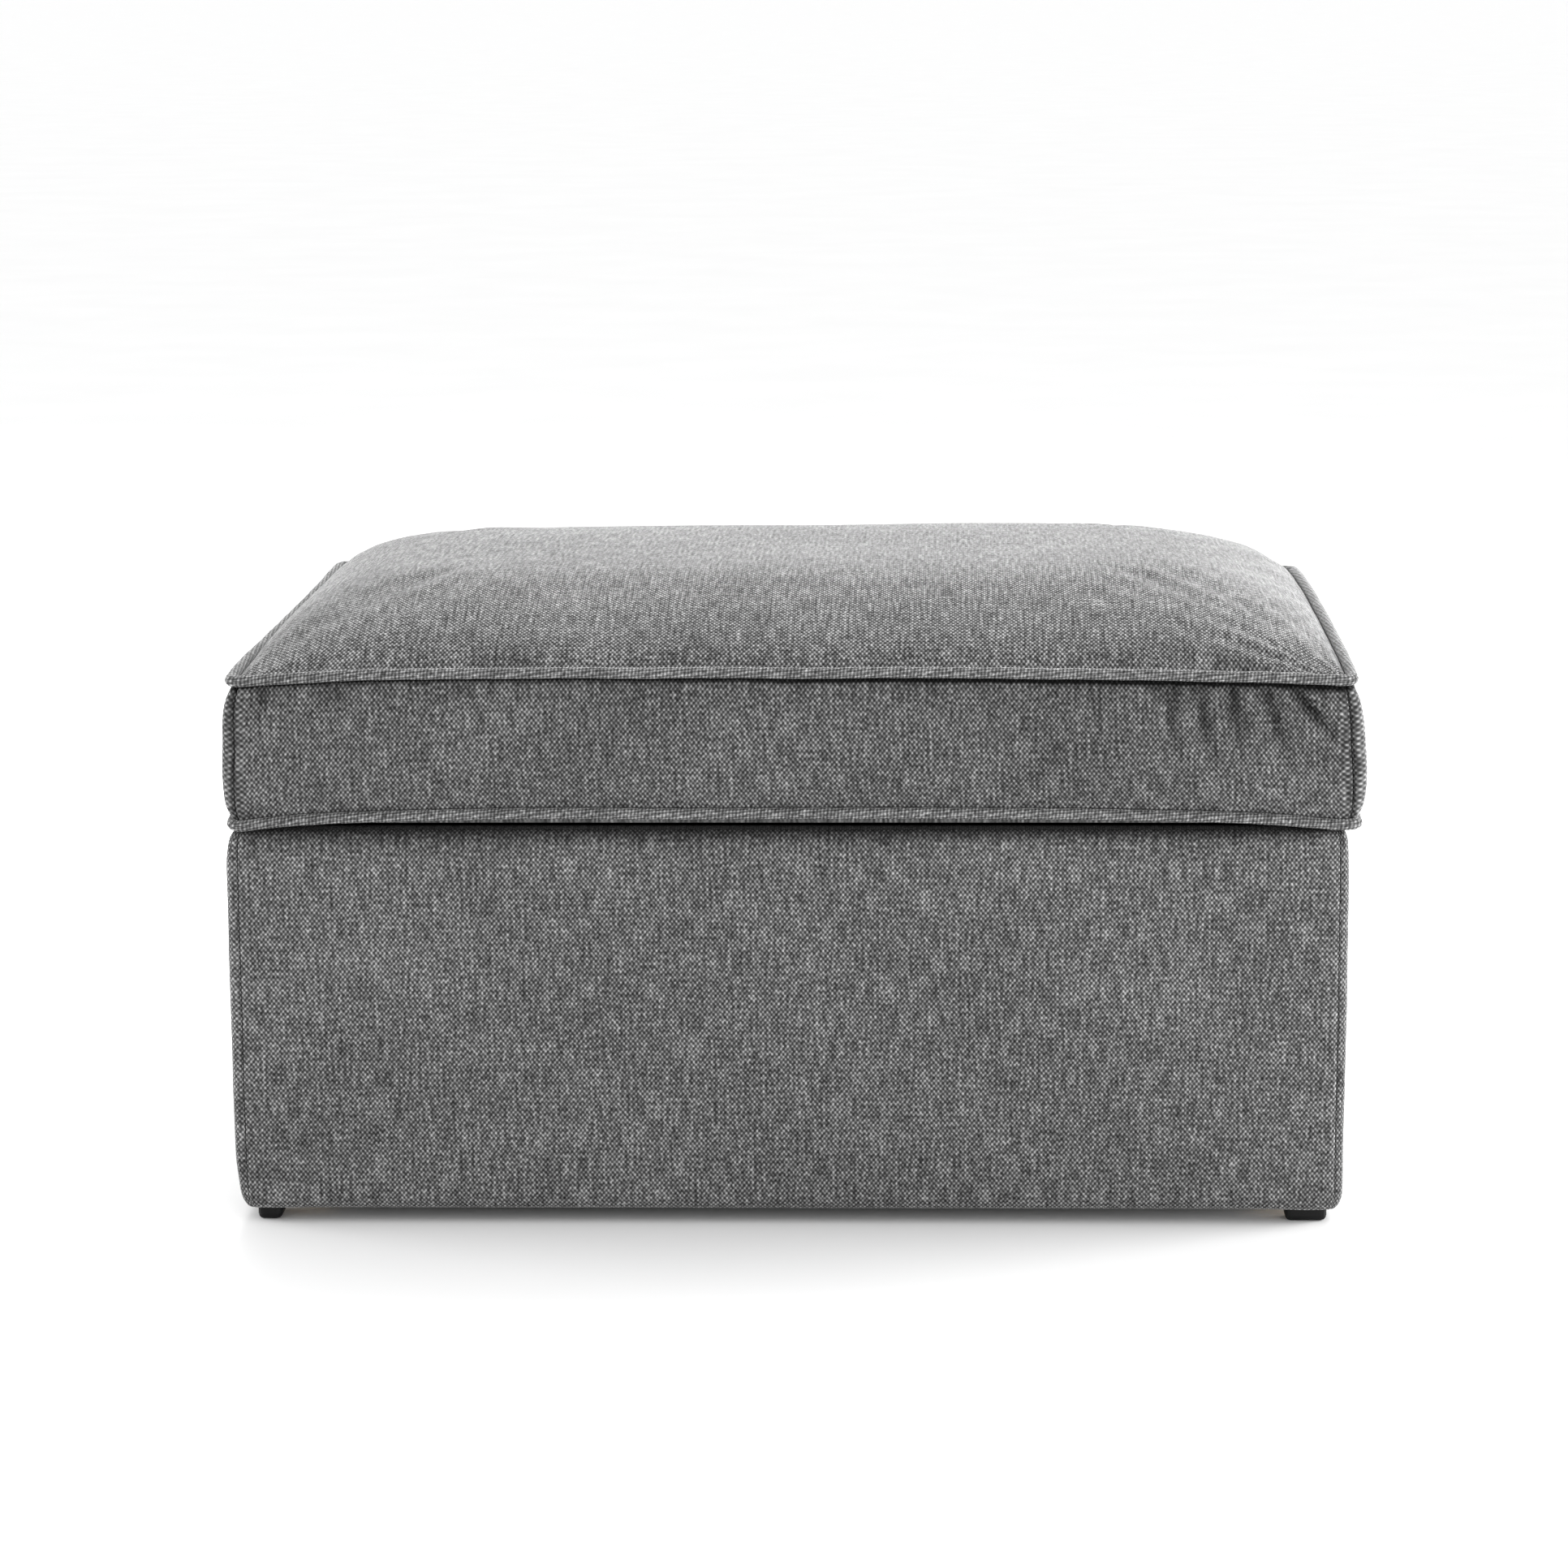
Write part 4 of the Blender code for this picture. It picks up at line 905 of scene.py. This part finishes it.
# ---------------------------------------------------------------- linings and cloths
def lining(mat):
    """The storage space's bag: thin cloth, a little slack on the walls and puckered on the floor."""
    radius = 0.006
    half_x, half_y = LINING_X - 0.0002, LINING_Y - 0.0002
    points, faces = [], []
    profile = [(0.0, z) for z in np.linspace(LINING_Z1, LINING_Z0 + 0.012, 22)]
    for k in range(1, 5):
        turn = math.pi / 2 * k / 4
        profile.append((0.012 * (1 - math.cos(turn)), LINING_Z0 + 0.012 * (1 - math.sin(turn))))
    for depth, z in profile:
        for side in ("front", "right", "back", "left"):
            half = half_x if side in ("front", "back") else half_y
            reach = half - radius + radius * math.pi / 4
            for along in np.linspace(-reach, reach, 60)[:-1]:
                loose = smooth_step((LINING_Z1 - z) / 0.03) * smooth_step((reach - abs(along)) / 0.04)
                slack = 0.0016 * (0.6 + ripple(along, z * 0.35, 16.0, 30 + len(side))) * loose
                spot, _ = loop_point(side, along, depth + max(slack, 0), half_x, half_y, radius)
                points.append((*spot, z))
    size = 4 * 59
    rings = len(profile)
    last = (rings - 1) * size
    inner_rings = 12
    for step in range(1, inner_rings):
        shrink = 1 - step / inner_rings
        for k in range(size):
            x, y = points[last + k][0] * shrink, points[last + k][1] * shrink
            pucker = 0.0010 * (1 + ripple(x, y, 11.0, 33)) * smooth_step(step / 3)
            points.append((x, y, LINING_Z0 + pucker))
        rings += 1
    for ring in range(rings - 1):
        a, b = ring * size, (ring + 1) * size
        faces += [(a + k, b + k, b + (k + 1) % size, a + (k + 1) % size) for k in range(size)]
    start = (rings - 1) * size
    points.append((0.0, 0.0, LINING_Z0 + 0.001))
    faces += [(start + k, len(points) - 1, start + (k + 1) % size) for k in range(size)]
    bag = make_piece("storage_lining", points, faces, None, [mat])
    thicken(bag, THIN, 1.0)
    settle(bag, "base", "lining", "lining_bag")


def flat_cloth(name, half_x, half_y, z, mat, sag, notch=0.0, seed=40.0):
    """A level sheet with shallow puckers, cut away at the corners if notch isn't 0."""
    across, deep = 61, 45
    xs, ys = np.linspace(-half_x, half_x, across), np.linspace(-half_y, half_y, deep)
    points, uvs = [], []
    for x in xs:
        for y in ys:
            edge = min((half_x - abs(x)), (half_y - abs(y)))
            loose = smooth_step(edge / 0.04)
            drop = sag * loose * (0.5 + 0.5 * ripple(x, y, 9.0, seed))
            drop += 0.2 * sag * loose * ripple(x, y, 40.0, seed)
            points.append((x, y, z - drop))
            uvs.append((x, y))
    faces = []
    for a, b, c, d in grid_faces(across, deep):
        x, y = (points[a][0] + points[c][0]) / 2, (points[a][1] + points[c][1]) / 2
        if abs(x) < half_x - notch or abs(y) < half_y - notch:
            faces.append((a, d, c, b))
    used = sorted({v for face in faces for v in face})
    order = {v: k for k, v in enumerate(used)}
    faces = [tuple(order[v] for v in face) for face in faces]
    sheet = make_piece(name, [points[v] for v in used], faces, [uvs[v] for v in used], [mat])
    thicken(sheet, THIN, -1.0)
    return sheet


def underside_cloths(cover, points, mat, cloth):
    """The cloth under the frame, the one under the lid, and the lid cover's turned-in border."""
    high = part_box("dust_cover")[1]
    dust = flat_cloth("dust_cover_cloth", high.x, high.y, DUST_Z + THIN, mat, 0.0025, notch=NOTCH)
    settle(dust, "base", "lining", "dust_cover")

    half_x, half_y = BOARD_X - BORDER, BOARD_Y - BORDER
    under = flat_cloth("lid_underside_lining", half_x, half_y, UNDER_Z + 0.0005, mat, 0.0, seed=44.0)
    settle(under, "lid", "lining", "lid_underside_cloth")
    turned_border(cover, points, cloth)


def turned_border(cover, points, cloth):
    """The cover's edge, from the lower seam in under the lid's board."""
    shape, uvs = [], []
    level = UNDER_Z + 0.0006
    insets, drops = (0.0, 0.0002, 0.0006, 0.0035, 0.012, 0.024, 0.046), (0.0, 0.5, 0.95, 1.0, 1.0, 1.0, 1.0)
    half_x, half_y = SEAM_X - SEAM_IN, SEAM_Y - SEAM_IN
    for k in range(cover.count):
        x, y, z = points[cover.at(k, LAST)]
        flat_x, flat_y = cover.rim[k]
        for inset, drop in zip(insets, drops):
            in_x = min(max(flat_x, inset - half_x), half_x - inset) - flat_x
            in_y = min(max(flat_y, inset - half_y), half_y - inset) - flat_y
            shape.append((x + in_x, y + in_y, z + (level - z) * drop))
            uvs.append((flat_x + in_x, flat_y + in_y))
    faces = [face[::-1] for face in grid_faces(cover.count, len(insets), closed=True)]
    border = make_piece("lid_cover_border", shape, faces, uvs, [cloth])
    thicken(border, 0.0005, 1.0)
    settle(border, "lid", "cloth")


# ---------------------------------------------------------------- boards and metalwork
def paint_cad(materials):
    """Gives each CAD node that stays a material by its slot in the record."""
    for entry in frame["record"]["subparts"]:
        obj = frame["nodes"][entry["node"]]
        slot = entry["material_slot"]
        if slot not in materials:
            continue
        if not obj.material_slots:
            obj.data.materials.append(materials[slot])
        for item in obj.material_slots:
            item.material = materials[slot]


# ---------------------------------------------------------------- the studio
def studio():
    floor_mat, tree, shader = new_material("studio_floor", 0.6, specular=0.2)
    place = node(tree, "TexCoord").outputs["Object"]
    tint = ramp(tree, noise_of(tree, place, 3.0, 2.0), ((0.3, 0.92), (0.7, 0.94)))
    tree.links.new(tint, shader.inputs["Base Color"])
    size = 120.0
    floor = make_piece(
        "floor",
        [(-size, -size, 0), (size, -size, 0), (size, size, 0), (-size, size, 0)],
        [(0, 1, 2, 3)],
        None,
        [floor_mat],
    )

    world = bpy.data.worlds.new("studio")
    world.use_nodes = True
    background = world.node_tree.nodes["Background"]
    background.inputs["Color"].default_value = (1.0, 1.0, 1.0, 1.0)
    background.inputs["Strength"].default_value = 1.06
    bpy.context.scene.world = world

    def soft_light(name, place, aim, width, height, watts):
        lamp = bpy.data.lights.new(name, "AREA")
        lamp.shape = "RECTANGLE"
        lamp.size, lamp.size_y = width, height
        lamp.energy = watts
        obj = bpy.data.objects.new(name, lamp)
        obj.location = place
        obj.rotation_euler = (Vector(aim) - Vector(place)).to_track_quat("-Z", "Y").to_euler()
        bpy.context.scene.collection.objects.link(obj)

    soft_light("overhead", (0.5, 2.0, 2.6), (0, 0, 0.35), 3.2, 2.2, 168)
    soft_light("right", (3.0, 0.4, 0.8), (0, 0, 0.3), 1.4, 1.6, 115)
    soft_light("left", (-3.0, 0.4, 0.8), (0, 0, 0.3), 1.4, 1.6, 45)
    soft_light("front", (2.0, -3.4, 0.8), (0, 0, 0.12), 1.6, 1.2, 26)


def camera():
    """A long lens a little above and to the right of the middle, nearly square to the front."""
    data = bpy.data.cameras.new("camera")
    data.lens = 101.3
    data.sensor_width = 36.0
    data.shift_x = -0.05
    data.clip_start, data.clip_end = 0.05, 400.0
    obj = bpy.data.objects.new("camera", data)
    turn, down, roll = math.radians(1.277), math.radians(10.594), math.radians(-0.243)
    level = Matrix.Rotation(math.pi / 2 - down, 4, "X")
    spin = Matrix.Rotation(turn, 4, "Z") @ level @ Matrix.Rotation(roll, 4, "Z")
    obj.matrix_world = Matrix.Translation((0.125, -3.449, 0.9218)) @ spin
    bpy.context.scene.collection.objects.link(obj)
    bpy.context.scene.camera = obj


def main():
    cloth = upholstery("upholstery_weave", 1.03, 0.92)
    # A lighter copy for the crown, painted light for the extra overhead light on the top; its weave also
    # has more contrast.
    top_painted_light_cloth = upholstery("upholstery_weave_top_painted_light", 1.1, 1.05)
    # A copy for the right side with painted light: a little lighter, with a strong painted sheen towards
    # grazing angles where the right lamp falls.
    right_side_painted_light_cloth = upholstery("upholstery_weave_right_painted_light", 1.05, 0.92, painted_sheen_weight=0.95, edge=7.0)
    # A lighter copy for the box's cover, painted light that makes up for the shade the lower box sits in.
    box_painted_light_cloth = upholstery("upholstery_weave_box_painted_light", 1.2, 0.94)
    # A much lighter copy for the piping: a painted highlight for the light its round top catches; the
    # painted shade stored on it darkens its underside.
    piping = upholstery("piping_weave_painted_highlight", 1.5, 0.8)
    liner = lining_cloth("black_lining", 0.022)
    padding = fluffy("cushion_padding", 0.62, 0.8, 500.0)
    wadding = fluffy("polyester_wadding", 0.7, 0.88, 260.0)
    felt = fluffy("dark_felt", 0.02, 0.06, 900.0)
    board = timber("plywood_birch", (0.66, 0.52, 0.36), (0.42, 0.29, 0.17), 900.0)
    pine = timber("pine_rail", (0.72, 0.56, 0.35), (0.5, 0.32, 0.15), 320.0)
    paint_cad(
        {
            "board": board,
            "rail": pine,
            "plastic": moulded_plastic("black_plastic"),
            "steel": zinc("zinc_steel"),
            "felt": felt,
        }
    )
    camera()
    studio()
    bpy.context.scene.view_settings.view_transform = "Standard"
    cover, points = cushion(cloth, top_painted_light_cloth, right_side_painted_light_cloth, padding)
    welts(cover, points, piping)
    box_wadding(wadding)
    box_cover(box_painted_light_cloth, right_side_painted_light_cloth)
    lining(liner)
    underside_cloths(cover, points, liner, cloth)


main()
